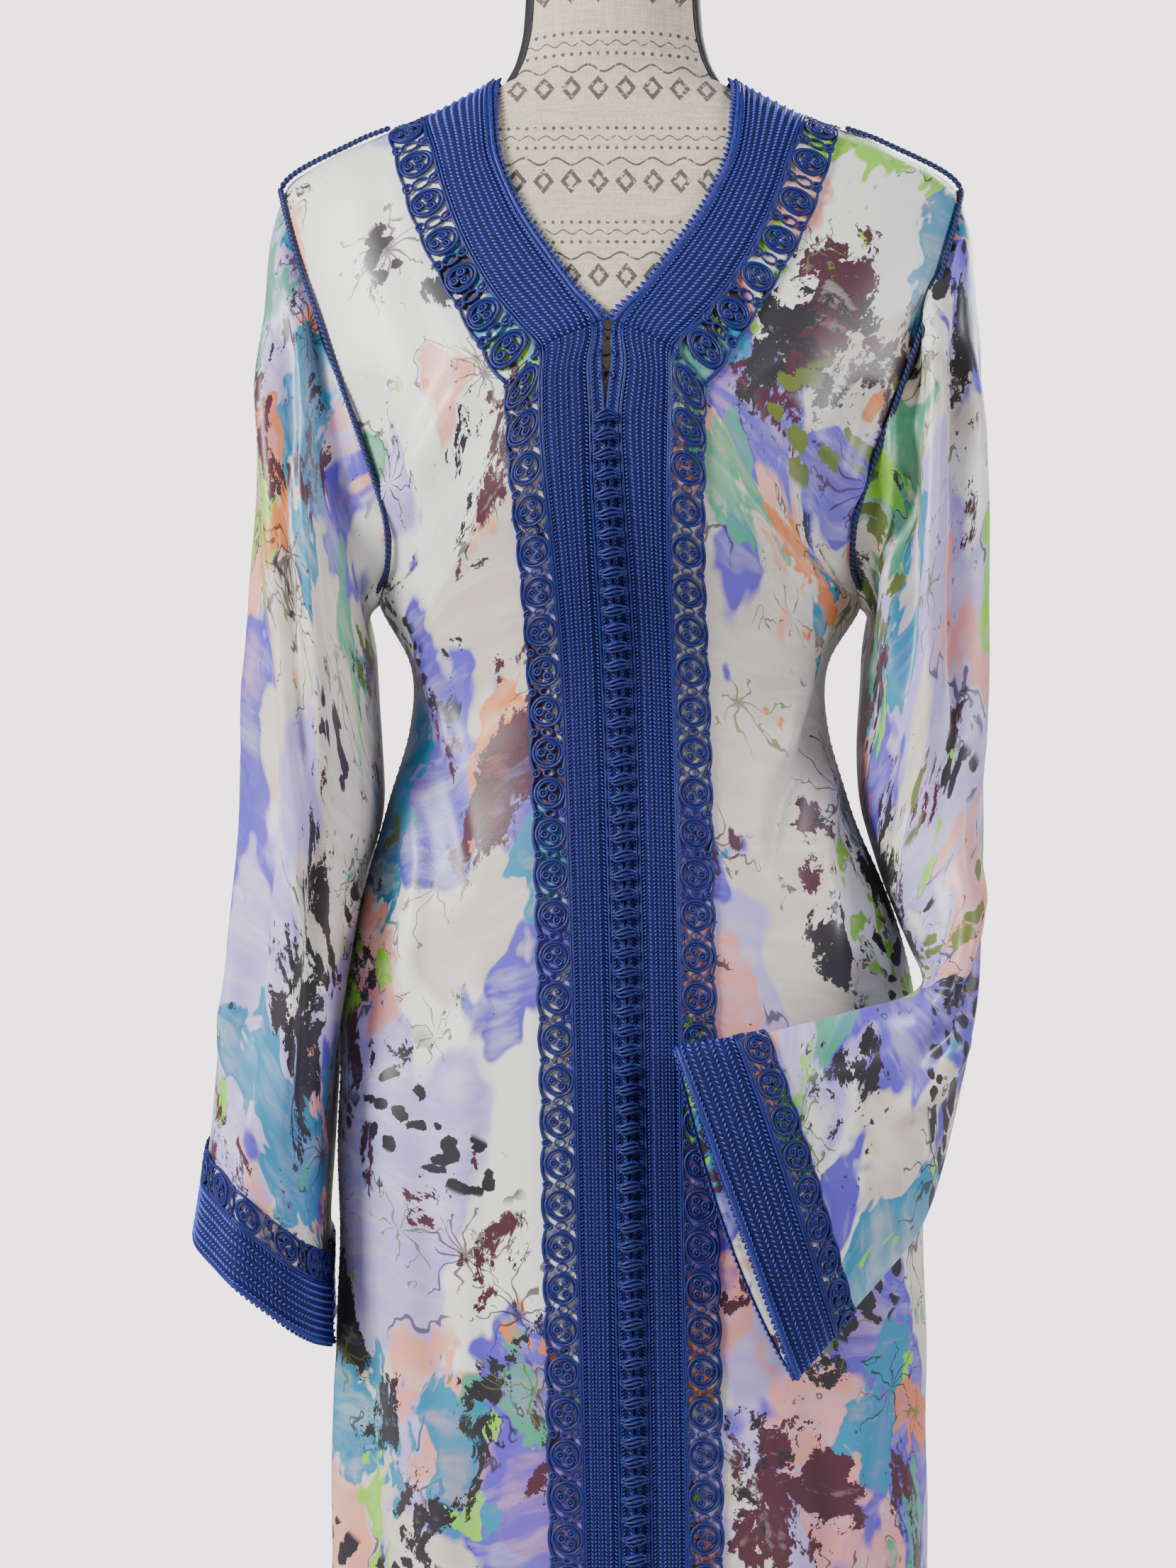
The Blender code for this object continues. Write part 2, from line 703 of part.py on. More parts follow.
def sleeve_patch(rows, side, between):
    """Sleeve tube from the armhole loop to the cuff; the first column is repeated as the last."""
    turns = sleeve_angles(side)
    loop, loop_normals = armhole_loop(side)
    middle = Vector((table_value(BODY, 1.25, 2) + side * 0.2, 0.0, 1.245))
    count = len(rows)
    sections = []
    for number in range(count - 1):
        for step in range(between[number]):
            part = step / between[number]
            near = [rows[max(0, min(count - 1, number + k))] for k in (-1, 0, 1, 2)]
            sections.append((number + part, tuple(spline(near, part, k) for k in range(7))))
    sections.append((count - 1.0, rows[-1]))
    clear = FOLDED_CLEAR if rows[-1][6] > 0.5 else CUFF_CLEAR
    rings = []
    for place, row in sections:
        share = place / (count - 1)
        near = clear if share > 0.6 else SLEEVE_CLEAR
        if side < 0:
            ring = hanging_ring(row, turns, share, near)
        else:
            ring = sleeve_ring(row, turns, side, share, clear)
        own = CAP_BLEND[int(place)] if place < len(CAP_BLEND) else 1.0
        for point, seam in zip(ring, loop):
            point[:] = seam + (point - seam) * own
        rings.append(ring)
    first = []
    for point, way in zip(loop, loop_normals):
        inward = middle - point
        inward -= way * inward.dot(way)
        first.append(point + inward.normalized() * 0.00045)
    rings.insert(0, first)
    rings = cuff_rings(rings)
    for ring in rings:
        ring[-1] = ring[0].copy()
    normals = ring_normals(rings, side)
    for column, way in enumerate(loop_normals):
        own = normals[0][column]
        match = max(0.0, min(1.0, (own.dot(way) + 0.1) / 0.7))
        normals[0][column] = (way * match + own * (1.0 - match)).normalized()
    return Patch(rings, normals)


def cuff_rings(rings):
    """The rings with their last ones set at the trims' own distances from the cuff's edge."""
    widths = (CUFF_BRAID_WIDTH + CUFF_LACE_WIDTH, CUFF_BRAID_WIDTH + 0.0004)
    made = []
    lowest = len(rings)
    for width in widths:
        ring = []
        for column in range(len(rings[0])):
            run = 0.0
            row = len(rings) - 1
            while row > 0:
                here, before = rings[row][column], rings[row - 1][column]
                step = (here - before).length
                if run + step >= width:
                    ring.append(here + (before - here) * ((width - run) / step))
                    break
                run += step
                row -= 1
            lowest = min(lowest, row - 1)
        made.append(ring)
    return rings[:lowest + 1] + made + [rings[-1]]


def hanging_ring(row, turns, share, clear):
    """Section of the sleeve on the wearer's right, mirrored across the body's own centre."""
    outer_x, outer_z, inner_x, inner_z, mid_y, half_depth, flat = row
    ring = []
    for turn in turns:
        way = math.radians(turn)
        c, s = math.cos(way), math.sin(way)
        fold = sleeve_fold(turn, share, 0.0)
        along = signed_power(c, 0.92)
        arm_x, arm_z = 0.5 * (outer_x - inner_x), 0.5 * (outer_z - inner_z)
        arm = math.hypot(arm_x, arm_z)
        x = 0.5 * (outer_x + inner_x) + arm_x * along + fold * c * arm_x / arm
        z = 0.5 * (outer_z + inner_z) + arm_z * along + fold * c * arm_z / arm
        y = mid_y - (half_depth + fold) * signed_power(s, 0.9)
        point = Vector((HANGING_SIDE * (x - 0.006), y, z))
        ring.append(pushed_clear(point, clear))
    return ring


def spline(near, part, column):
    """Smooth value between the two middle rows of four."""
    a, b, c, d = (row[column] for row in near)
    m, n = 0.5 * (c - a), 0.5 * (d - b)
    p2, p3 = part * part, part * part * part
    return (2 * p3 - 3 * p2 + 1) * b + (p3 - 2 * p2 + part) * m + (3 * p2 - 2 * p3) * c + (p3 - p2) * n


def ring_normals(rings, side):
    """Outward directions of a tube of rings whose last point repeats the first."""
    rows = len(rings)
    size = len(rings[0]) - 1
    normals = []
    for r in range(rows):
        line = []
        low, high = rings[max(0, r - 1)], rings[min(rows - 1, r + 1)]
        for c in range(size):
            around = rings[r][(c + 1) % size] - rings[r][(c - 1) % size]
            along = high[c] - low[c]
            line.append(around.cross(along).normalized() * side)
        line.append(line[0].copy())
        normals.append(line)
    middle = rows // 2
    centre = sum((rings[middle][c] for c in range(size)), Vector()) / size
    outward = sum(normals[middle][c].dot(rings[middle][c] - centre) for c in range(size))
    if outward < 0.0:
        normals = [[-way for way in line] for line in normals]
    return normals


def strip_band(name, patch, stations, across, heights, material, parts):
    """Raised band on a patch. A station is (u0, v0, u1, v1), its two edges on the cloth."""
    corners = []
    grid = []
    for u0, v0, u1, v1 in stations:
        line = []
        for share, height in zip(across, heights):
            u, v = u0 + (u1 - u0) * share, v0 + (v1 - v0) * share
            line.append((patch.point(u, v), patch.normal(u, v), TRIM_LIFT, TRIM_LIFT + height))
        grid.append(line)
    for k in range(len(grid) - 1):
        for j in range(len(across) - 1):
            a, b, c, d = grid[k][j], grid[k][j + 1], grid[k + 1][j + 1], grid[k + 1][j]
            corners.append((a, b, c))
            corners.append((a, c, d))
    return thick_sheet(name, corners, material, parts)


def even_stations(route, pitch):
    """Places along a route(t) for t from 0 to 1 that are whole repeats apart by length."""
    samples = 400
    spots = [route(k / samples) for k in range(samples + 1)]
    run = [0.0]
    for k in range(samples):
        run.append(run[-1] + (spots[k + 1] - spots[k]).length)
    repeats = max(1, round(run[-1] / pitch))

    def place(share):
        """T at a share of the length."""
        want = share * run[-1]
        k = 0
        while k < samples - 1 and run[k + 1] < want:
            k += 1
        step = run[k + 1] - run[k]
        return (k + (want - run[k]) / step) / samples if step > 0.0 else k / samples

    return repeats, place


def lace_band(name, spot, lift, cells, material, parts):
    """Scalloped lace with one opening a repeat. spot(t, w) gives (point, direction) on the cloth.

    Where cells is a number, each repeat fills one cell of the cloth's own grid.
    """
    if cells:
        repeats = cells

        def place(share):
            """Repeats that are even along the grid."""
            return share
    else:
        repeats, place = even_stations(lambda t: spot(t, 0.5)[0], LACE_PITCH)

    def corner(along, across):
        """Corner at a place along, counted in repeats, and across."""
        point, way = spot(place(along / repeats), across)
        return (point, way, lift, lift + LACE_HEIGHT)

    corners = []
    for k in range(repeats):
        outer = [
            corner(k, 0.0),
            corner(k + 1, 0.0),
            corner(k + 1, LACE_VALLEY),
            corner(k + 1 - LACE_SHOULDER, 1.0),
            corner(k + LACE_SHOULDER, 1.0),
            corner(k, LACE_VALLEY),
        ]
        hole = [
            corner(k + 0.5, HOLE_MIDDLE - HOLE_ACROSS),
            corner(k + 0.5 + HOLE_ALONG, HOLE_MIDDLE),
            corner(k + 0.5, HOLE_MIDDLE + HOLE_ACROSS),
            corner(k + 0.5 - HOLE_ALONG, HOLE_MIDDLE),
        ]
        a, b, c, d, e, f = outer
        south, east, north, west = hole
        corners += [(a, b, south), (b, east, south), (b, c, east), (c, d, east), (d, north, east)]
        corners += [(d, e, north), (e, west, north), (e, f, west), (f, a, west), (a, south, west)]
    return thick_sheet(name, corners, material, parts)


def tube(name, path, radius, sides, material, parts):
    """Closed tube with filled ends along (point, direction) places."""
    rings = []
    count = len(path)
    for k, (point, way) in enumerate(path):
        ahead = path[min(count - 1, k + 1)][0] - path[max(0, k - 1)][0]
        ahead.normalize()
        across = ahead.cross(way).normalized()
        up = across.cross(ahead).normalized()
        ring = []
        for step in range(sides):
            turn = 2.0 * math.pi * (step + 0.5) / sides
            ring.append(point + across * (radius * math.cos(turn)) + up * (radius * math.sin(turn)))
        rings.append(ring)
    return ring_solid(name, rings, material, parts)


def ring_solid(name, rings, material, parts):
    """Solid from rings of points with flat ends."""
    size = len(rings[0])
    points = [point for ring in rings for point in ring]
    faces = []
    for r in range(len(rings) - 1):
        for c in range(size):
            a, b = r * size + c, r * size + (c + 1) % size
            faces.append((a, b, b + size))
            faces.append((a, b + size, a + size))
    for base in (0, (len(rings) - 1) * size):
        for c in range(1, size - 1):
            faces.append((base, base + c, base + c + 1))
    return build_mesh(name, points, faces, material, parts)


def oval_ring(z, half_x, half_y, centre, segments):
    """Oval ring of points."""
    ring = []
    for k in range(segments):
        turn = 2.0 * math.pi * k / segments
        ring.append(Vector((centre[0] + half_x * math.sin(turn), centre[1] - half_y * math.cos(turn), z)))
    return ring


def build_form(materials, parts):
    """Limbless form inside the cloth: torso with neck, and its cap."""
    rings = []
    levels = [FORM_BOTTOM, 0.78, 0.85, 0.91, 0.96, 1.01, 1.06, 1.115, 1.17, 1.23, 1.285, 1.33]
    levels += [1.376, 1.393, 1.410, 1.428]
    base = oval_ring(FORM_BOTTOM - 0.012, 0.120, 0.085, (0.011, 0.004), FORM_SEGMENTS)
    rings.append(base)
    for z in levels:
        loose = min(1.0, max(0.0, (1.20 - z) / 0.15))
        ease = SATIN_WALL + FORM_EASE + (FORM_SKIRT_EASE - FORM_EASE) * loose
        ring = []
        for k in range(FORM_SEGMENTS):
            angle = 360.0 * k / FORM_SEGMENTS
            point = body_point(angle, z, False)
            way = body_normal(angle, z, False)
            reach = min(1.0, max(0.0, (abs(point.x) - 0.10) / 0.05)) if z > 1.3 else 0.0
            depth = ease + FORM_TIP_EASE * reach
            if k % (FORM_SEGMENTS // 2) == FORM_SEGMENTS // 4 and FORM_REST[0] <= z <= FORM_REST[1]:
                depth = SATIN_WALL + FORM_REST_GAP
            ring.append(point - way * depth)
        rings.append(ring)
    for z, half_x, half_y in NECK_RINGS:
        rings.append(oval_ring(z, half_x, half_y, (0.001, 0.005), FORM_SEGMENTS))
    ring_solid("form_torso", rings, materials["linen"], parts)
    cap = [oval_ring(z, a, b, (0.001, 0.005), FORM_SEGMENTS) for z, a, b in NECK_CAP]
    ring_solid("form_neck_cap", cap, materials["wood"], parts)


def build_stand(materials, parts):
    """Round foot and pole."""
    rings = [oval_ring(z, r, r, (0.0, 0.0), BASE_SEGMENTS) for r, z in BASE_PROFILE]
    ring_solid("stand_base", rings, materials["metal"], parts)
    levels = (BASE_PROFILE[-1][1] + 0.0003, FORM_BOTTOM - 0.0123)
    pole = [oval_ring(z, POLE_RADIUS, POLE_RADIUS, (0.0, 0.0), POLE_SEGMENTS) for z in levels]
    ring_solid("stand_pole", pole, materials["metal"], parts)


def front_stations(first, last, u0, u1):
    """Stations up a front panel between two rows, at each row and between long ones."""
    places = [first]
    for row in range(int(math.ceil(first + 1e-6)), int(math.floor(last - 1e-6)) + 1):
        places.append(float(row))
    places.append(last)
    return [(u0, v, u1, v) for v in places]


def build_front_trims(patch, side, materials, parts):
    """Braid and lace on one front panel."""
    word = "left" if side > 0 else "right"
    across = (0.0, 0.34, 0.66, 1.0)
    heights = (BRAID_EDGE, BRAID_RIDGE, BRAID_RIDGE, BRAID_EDGE)
    last = len(FRONT_ROWS) - 1
    mitre = float(MITRE_ROW)
    stations = front_stations(0.004, mitre - 0.012, 1.02, 1.99)
    strip_band(f"braid_front_{word}", patch, stations, across, heights, materials["braid"], parts)
    stations = front_stations(mitre + 0.012, last - 0.012, 1.02, 1.99)
    strip_band(f"braid_neck_{word}", patch, stations, across, heights, materials["braid"], parts)

    def low_spot(t, w):
        """Place on the lace line beside the front braid."""
        u, v = 2.03 + 0.97 * w, 0.004 + (mitre - 0.020 - 0.004) * t
        return patch.point(u, v), patch.normal(u, v)

    def high_spot(t, w):
        """Place on the lace line round the neck."""
        u, v = 2.03 + 0.97 * w, mitre + 0.020 + (last - 0.012 - mitre - 0.020) * t
        return patch.point(u, v), patch.normal(u, v)

    lace_band(f"lace_front_{word}", low_spot, LACE_LIFT, 0, materials["lace"], parts)
    lace_band(f"lace_neck_{word}", high_spot, LACE_LIFT, last - MITRE_ROW, materials["lace"], parts)


def build_back_trims(collar, materials, parts):
    """Braid and lace round the back of the neck."""
    across = (0.0, 0.34, 0.66, 1.0)
    heights = (BRAID_EDGE, BRAID_RIDGE, BRAID_RIDGE, BRAID_EDGE)
    last = collar.rows - 1
    places = [0.012] + [0.5 * k for k in range(1, 2 * last)] + [last - 0.012]
    stations = [(1.02, v, 1.99, v) for v in places]
    strip_band("braid_neck_back", collar, stations, across, heights, materials["braid"], parts)

    def spot(t, w):
        """Place on the lace line."""
        u, v = 2.03 + 0.97 * w, 0.012 + (last - 0.024) * t
        return collar.point(u, v), collar.normal(u, v)

    lace_band("lace_neck_back", spot, LACE_LIFT, collar.rows - 1, materials["lace"], parts)


def build_buttons(right, left, materials, parts):
    """Column of knotted buttons and loops down the centre front, made as one strip."""
    points = []
    normals = []
    for row in range(BUTTON_ROW + 2):
        side_r, side_l = right.points[row][1], left.points[row][1]
        middle = (right.points[row][0] + left.points[row][0]) * 0.5
        way = (right.normals[row][0] + left.normals[row][0]).normalized()
        points.append([side_r, middle, side_l])
        normals.append([right.normals[row][1], way, left.normals[row][1]])
    patch = Patch(points, normals)
    top = BUTTON_ROW + 0.02
    repeats, place = even_stations(lambda t: patch.point(1.0, 0.004 + (top - 0.004) * t), BUTTON_PITCH)
    corners = []
    grid = []
    for k in range(2 * repeats + 1):
        v = 0.004 + (top - 0.004) * place(k / (2.0 * repeats))
        knot = k % 2 == 1
        half = BUTTON_HALF if knot else LOOP_HALF
        height = BUTTON_HEIGHT if knot else LOOP_HEIGHT
        reach = half / BRAID_INNER
        line = []
        for u in (1.0 - reach, 1.0 + reach):
            line.append((patch.point(u, v), patch.normal(u, v), TRIM_LIFT, TRIM_LIFT + height))
        grid.append(line)
    for k in range(len(grid) - 1):
        a, b, c, d = grid[k][0], grid[k][1], grid[k + 1][1], grid[k + 1][0]
        corners.append((a, b, c))
        corners.append((a, c, d))
    thick_sheet("button_strip", corners, materials["knot"], parts)


def build_cuff(patch, word, materials, parts):
    """Braid and lace round a sleeve's end."""
    last = patch.rows - 1
    stations = [(float(c), last - 0.985, float(c), last - 0.02) for c in range(patch.columns)]
    across = (0.0, 0.5, 1.0)
    heights = (BRAID_EDGE, BRAID_RIDGE, BRAID_EDGE)
    strip_band(f"cuff_braid_{word}", patch, stations, across, heights, materials["braid"], parts)
    half = (patch.columns - 1) // 2
    spans = (("front", 0.015, half - 0.015), ("back", half + 0.015, patch.columns - 1 - 0.015))
    for name, start, end in spans:
        def spot(t, w, start=start, end=end):
            """Place on the lace line round the sleeve."""
            u = start + (end - start) * t
            v = last - 1.03 - 0.95 * w
            return patch.point(u, v), patch.normal(u, v)

        lace_band(f"cuff_lace_{word}_{name}", spot, LACE_LIFT, half, materials["lace"], parts)


def build_cords(sleeve, side, materials, parts):
    """Corded piping along the armhole and the shoulder seam."""
    word = "left" if side > 0 else "right"
    loop, ways = armhole_loop(side)
    lift = CORD_RADIUS + ARMHOLE_LIFT
    low = len(ARMHOLE) - 1
    path = []
    for k in range(1, 2 * low):
        rise = sleeve.points[1][k] - sleeve.points[0][k]
        along = loop[k + 1] - loop[k - 1]
        face = rise.cross(along).normalized()
        if face.dot(sleeve.normals[1][k]) < 0.0:
            face = -face
        way = (ways[k] + face).normalized()
        spread = lift / max(0.42, way.dot(ways[k]))
        path.append((loop[k] + way * spread, way))
    tube(f"armhole_cord_{word}", path, CORD_RADIUS, 6, materials["piping"], parts)
    first_z, last_z = NECK_LINES[-1][4] - 0.0012, ARMHOLE[-1][0] + 0.0040
    path = []
    for k in range(6):
        z = first_z + (last_z - first_z) * k / 5.0
        way = body_normal(90.0 * side, z)
        path.append((body_point(90.0 * side, z) + way * (CORD_RADIUS + SHOULDER_LIFT), way))
    tube(f"shoulder_cord_{word}", path, CORD_RADIUS, 6, materials["piping"], parts)


def main():
    """Build every piece."""
    parts = clear_scene()
    materials = {
        "satin": make_material("satin", (0.78, 0.79, 0.77), 0.35),
        "braid": make_material("braid", (0.045, 0.075, 0.36), 0.6),
        "lace": make_material("lace", (0.03, 0.055, 0.33), 0.6),
        "knot": make_material("knot", (0.025, 0.04, 0.25), 0.55),
        "piping": make_material("piping", (0.02, 0.025, 0.13), 0.6),
        "linen": make_material("linen", (0.68, 0.63, 0.52), 0.9),
        "wood": make_material("wood", (0.30, 0.17, 0.08), 0.5),
        "metal": make_material("metal", (0.05, 0.05, 0.05), 0.4, 1.0),
    }
    right = front_patch(-1)
    left = front_patch(1)
    back, collar = back_patches()
    cloth("front_right", [right], materials["satin"], parts)
    cloth("front_left", [left], materials["satin"], parts)
    cloth("back", [back, collar], materials["satin"], parts)
    hanging = sleeve_patch(HANGING_SLEEVE, HANGING_SIDE, (1, 1, 1, 1, 1, 1, 1, 1, 1, 1))
    folded = sleeve_patch(FOLDED_SLEEVE, FOLDED_SIDE, (1, 1, 1, 1, 1, 1, 2, 2, 1, 1, 1, 1, 1))
    cloth("sleeve_right", [hanging], materials["satin"], parts)
    cloth("sleeve_left", [folded], materials["satin"], parts)
    build_front_trims(right, -1, materials, parts)
    build_front_trims(left, 1, materials, parts)
    build_back_trims(collar, materials, parts)
    build_buttons(right, left, materials, parts)
    build_cuff(hanging, "right", materials, parts)
    build_cuff(folded, "left", materials, parts)
    build_cords(hanging, -1, materials, parts)
    build_cords(folded, 1, materials, parts)
    build_form(materials, parts)
    build_stand(materials, parts)


main()
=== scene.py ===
import itertools
import math

import bmesh
import bpy
import numpy as np
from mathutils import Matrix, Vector


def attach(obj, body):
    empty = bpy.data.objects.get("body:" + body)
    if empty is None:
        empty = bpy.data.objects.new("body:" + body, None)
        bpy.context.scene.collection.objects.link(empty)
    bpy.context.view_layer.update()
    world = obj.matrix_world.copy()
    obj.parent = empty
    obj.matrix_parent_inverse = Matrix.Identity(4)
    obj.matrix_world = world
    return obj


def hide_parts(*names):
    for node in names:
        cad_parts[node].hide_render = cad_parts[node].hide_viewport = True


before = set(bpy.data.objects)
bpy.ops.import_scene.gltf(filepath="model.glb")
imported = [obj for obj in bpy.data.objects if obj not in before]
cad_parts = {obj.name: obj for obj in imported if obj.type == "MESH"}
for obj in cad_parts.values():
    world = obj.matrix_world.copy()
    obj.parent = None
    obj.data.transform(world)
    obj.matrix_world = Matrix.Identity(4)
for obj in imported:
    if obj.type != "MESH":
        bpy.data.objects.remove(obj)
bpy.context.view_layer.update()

bl_info = {
    "name": "Moroccan Kaftan",
    "version": (1, 0, 0),
    "blender": (4, 5, 0),
    "location": "3D View > Sidebar > Kaftan",
    "description": "Builds the visual pieces of a kaftan on its dress form",
    "category": "Add Mesh",
}

NEAR = 1e-6
SEAM_GAP = 0.0002
BRAID_LIFT = 0.0004
BRAID_INNER = 0.0078
LACE_SIT = 0.0004
BUTTON_PITCH = 0.0118
SECTION_POWER = 2.2
NORMAL_TURN = 1.5
NORMAL_RISE = 0.004
SLOPE_STEP = 0.02
LEAST_STEP = 0.0005
ROUTE_STEPS = 600
HEM_INSET = 0.004
END_INSET = 0.006
MITRE_INSET = 0.012
WORDS = ("right", "left")

# Body sections from hem to neck: z, half width, centre x, front and back depth
BODY = (
    (0.055, 0.200, 0.014, 0.152, 0.158),
    (0.500, 0.185, 0.012, 0.137, 0.144),
    (0.720, 0.184, 0.012, 0.130, 0.139),
    (0.850, 0.183, 0.011, 0.123, 0.132),
    (0.950, 0.160, 0.007, 0.112, 0.113),
    (1.000, 0.142, 0.005, 0.106, 0.097),
    (1.060, 0.131, 0.005, 0.104, 0.086),
    (1.112, 0.153, 0.005, 0.116, 0.090),
    (1.170, 0.178, 0.005, 0.130, 0.097),
    (1.240, 0.204, 0.006, 0.124, 0.101),
    (1.280, 0.214, 0.006, 0.111, 0.098),
    (1.330, 0.219, 0.006, 0.092, 0.091),
    (1.375, 0.2145, 0.006, 0.074, 0.080),
    (1.405, 0.166, 0.005, 0.064, 0.071),
    (1.4225, 0.119, 0.003, 0.057, 0.067),
    (1.446, 0.0765, 0.002, 0.048, 0.061),
    (1.470, 0.062, 0.001, 0.046, 0.058),
)

# Skirt folds: ridge angle from the front centre, its width, and how far it stands out at the hem
FOLDS = (
    (27.0, 6.0, 0.0040),
    (45.0, 7.0, 0.0060),
    (64.0, 6.0, 0.0080),
    (82.0, 7.0, 0.0060),
    (101.0, 8.0, 0.0085),
    (124.0, 9.0, 0.0100),
    (147.0, 8.0, 0.0080),
    (168.0, 8.0, 0.0090),
    (-31.0, 6.0, 0.0035),
    (-50.0, 7.0, 0.0065),
    (-67.0, 6.0, 0.0060),
    (-84.0, 7.0, 0.0070),
    (-106.0, 9.0, 0.0090),
    (-130.0, 8.0, 0.0085),
    (-152.0, 9.0, 0.0100),
)
FOLD_START = 1.02
FOLD_FULL = 0.45

# Centre front line, x at each height
CENTRE_LINE = (
    (0.055, 0.0180),
    (0.526, 0.0143),
    (0.714, 0.0110),
    (0.855, 0.0087),
    (1.045, 0.0041),
    (1.225, -0.0045),
    (1.279, -0.0030),
    (1.340, -0.0010),
    (1.446, 0.0020),
)

# Front panel rows from hem to shoulder: z and distance from the centre line at the centre edge, the braid's
# outer edge and the lace's outer edge, then the height at the side seam or armhole
FRONT_ROWS = (
    (0.055, 0.0002, 0.055, 0.0290, 0.055, 0.0510, 0.055),
    (0.190, 0.0002, 0.190, 0.0292, 0.190, 0.0512, 0.190),
    (0.330, 0.0002, 0.330, 0.0295, 0.330, 0.0515, 0.330),
    (0.470, 0.0002, 0.470, 0.0299, 0.470, 0.0519, 0.470),
    (0.600, 0.0002, 0.600, 0.0304, 0.600, 0.0524, 0.600),
    (0.710, 0.0002, 0.710, 0.0308, 0.710, 0.0528, 0.710),
    (0.805, 0.0002, 0.805, 0.0312, 0.805, 0.0532, 0.805),
    (0.890, 0.0002, 0.889, 0.0318, 0.888, 0.0538, 0.882),
    (0.960, 0.0002, 0.958, 0.0324, 0.956, 0.0544, 0.938),
    (1.022, 0.0002, 1.019, 0.0328, 1.017, 0.0548, 0.984),
    (1.080, 0.0002, 1.076, 0.0332, 1.073, 0.0552, 1.032),
    (1.138, 0.0002, 1.133, 0.0342, 1.128, 0.0560, 1.075),
    (1.188, 0.0002, 1.181, 0.0366, 1.173, 0.0582, 1.112),
    (1.225, 0.0002, 1.214, 0.0382, 1.200, 0.0598, 1.117),
    (1.254, 0.0026, 1.240, 0.0388, 1.220, 0.0606, 1.132),
    (1.279, 0.0034, 1.262, 0.0392, 1.238, 0.0622, 1.160),
    (1.3000, 0.0213, 1.2768, 0.0515, 1.2548, 0.0730, 1.190),
    (1.3230, 0.0380, 1.2969, 0.0683, 1.2810, 0.0885, 1.222),
    (1.3480, 0.0547, 1.3215, 0.0836, 1.3082, 0.1040, 1.255),
    (1.3700, 0.0658, 1.3436, 0.0943, 1.3323, 0.1166, 1.288),
    (1.3915, 0.0735, 1.3680, 0.1035, 1.3567, 0.1265, 1.318),
    (1.4135, 0.0762, 1.3900, 0.1100, 1.3800, 0.1335, 1.345),
    (1.4320, 0.0775, 1.4095, 0.1165, 1.4005, 0.1395, 1.363),
    (1.4460, 0.0765, 1.4225, 0.1190, 1.4143, 0.1420, 1.375),
)
MITRE_ROW = 15
UNDERARM_ROW = 12
BUTTON_ROW = 13
SIDE_STEPS = 7
UNDERARM_BEND = 2.8
NECK_EDGE_SHARE = 0.07

# Armhole seam: z, and distance from the body's centre in front and behind
ARMHOLE = (
    (1.112, 0.1530, 0.1530),
    (1.117, 0.1490, 0.1500),
    (1.132, 0.1435, 0.1490),
    (1.160, 0.1435, 0.1510),
    (1.190, 0.1525, 0.1610),
    (1.222, 0.1645, 0.1730),
    (1.255, 0.1770, 0.1840),
    (1.288, 0.1890, 0.1940),
    (1.318, 0.2000, 0.2025),
    (1.345, 0.2075, 0.2085),
    (1.363, 0.2115, 0.2118),
    (1.375, 0.2145, 0.2145),
)

# Back neck lines from the centre back to the shoulder: z and distance from the centre
NECK_LINES = (
    (1.4305, 0.0000, 1.3925, 0.0000, 1.3700, 0.0000),
    (1.4310, 0.0215, 1.3935, 0.0320, 1.3710, 0.0385),
    (1.4335, 0.0430, 1.3980, 0.0640, 1.3770, 0.0765),
    (1.4380, 0.0605, 1.4060, 0.0930, 1.3905, 0.1110),
    (1.4430, 0.0715, 1.4165, 0.1110, 1.4050, 0.1320),
    (1.4460, 0.0765, 1.4225, 0.1190, 1.4143, 0.1420),
)
BACK_OUTER_STEPS = 3
BACK_BLEND_START = 1.275

# Back rows below the neck lace: z at the centre and at the side
BACK_ROWS = (
    (0.055, 0.055),
    (0.190, 0.190),
    (0.330, 0.330),
    (0.470, 0.470),
    (0.600, 0.600),
    (0.710, 0.710),
    (0.805, 0.805),
    (0.882, 0.882),
    (0.940, 0.938),
    (0.988, 0.984),
    (1.040, 1.032),
    (1.090, 1.075),
    (1.132, 1.112),
    (1.156, 1.117),
    (1.180, 1.132),
    (1.204, 1.160),
    (1.228, 1.190),
    (1.252, 1.222),
    (1.276, 1.255),
    (1.299, 1.288),
    (1.320, 1.318),
    (1.341, 1.345),
    (1.357, 1.363),
)

# Sleeve sections: x and z of the outer and inner edge seen from the front, middle depth, half depth,
# and how far the section is pressed flat across the front
HANGING_SLEEVE = (
    (0.2245, 1.345, 0.1660, 1.100, 0.000, 0.082, 0.0),
    (0.2280, 1.290, 0.1570, 1.062, -0.002, 0.088, 0.0),
    (0.2300, 1.225, 0.1520, 1.020, -0.004, 0.091, 0.0),
    (0.2330, 1.150, 0.1520, 0.975, -0.006, 0.092, 0.0),
    (0.2375, 1.065, 0.1600, 0.925, -0.008, 0.092, 0.0),
    (0.2420, 0.980, 0.1700, 0.870, -0.010, 0.092, 0.0),
    (0.2470, 0.895, 0.1790, 0.810, -0.012, 0.093, 0.0),
    (0.2535, 0.828, 0.1820, 0.752, -0.014, 0.094, 0.0),
    (0.2575, 0.785, 0.1815, 0.712, -0.016, 0.095, 0.0),
    (0.2625, 0.750, 0.1805, 0.679, -0.017, 0.096, 0.0),
    (0.2675, 0.7175, 0.1775, 0.6475, -0.018, 0.097, 0.0),
)
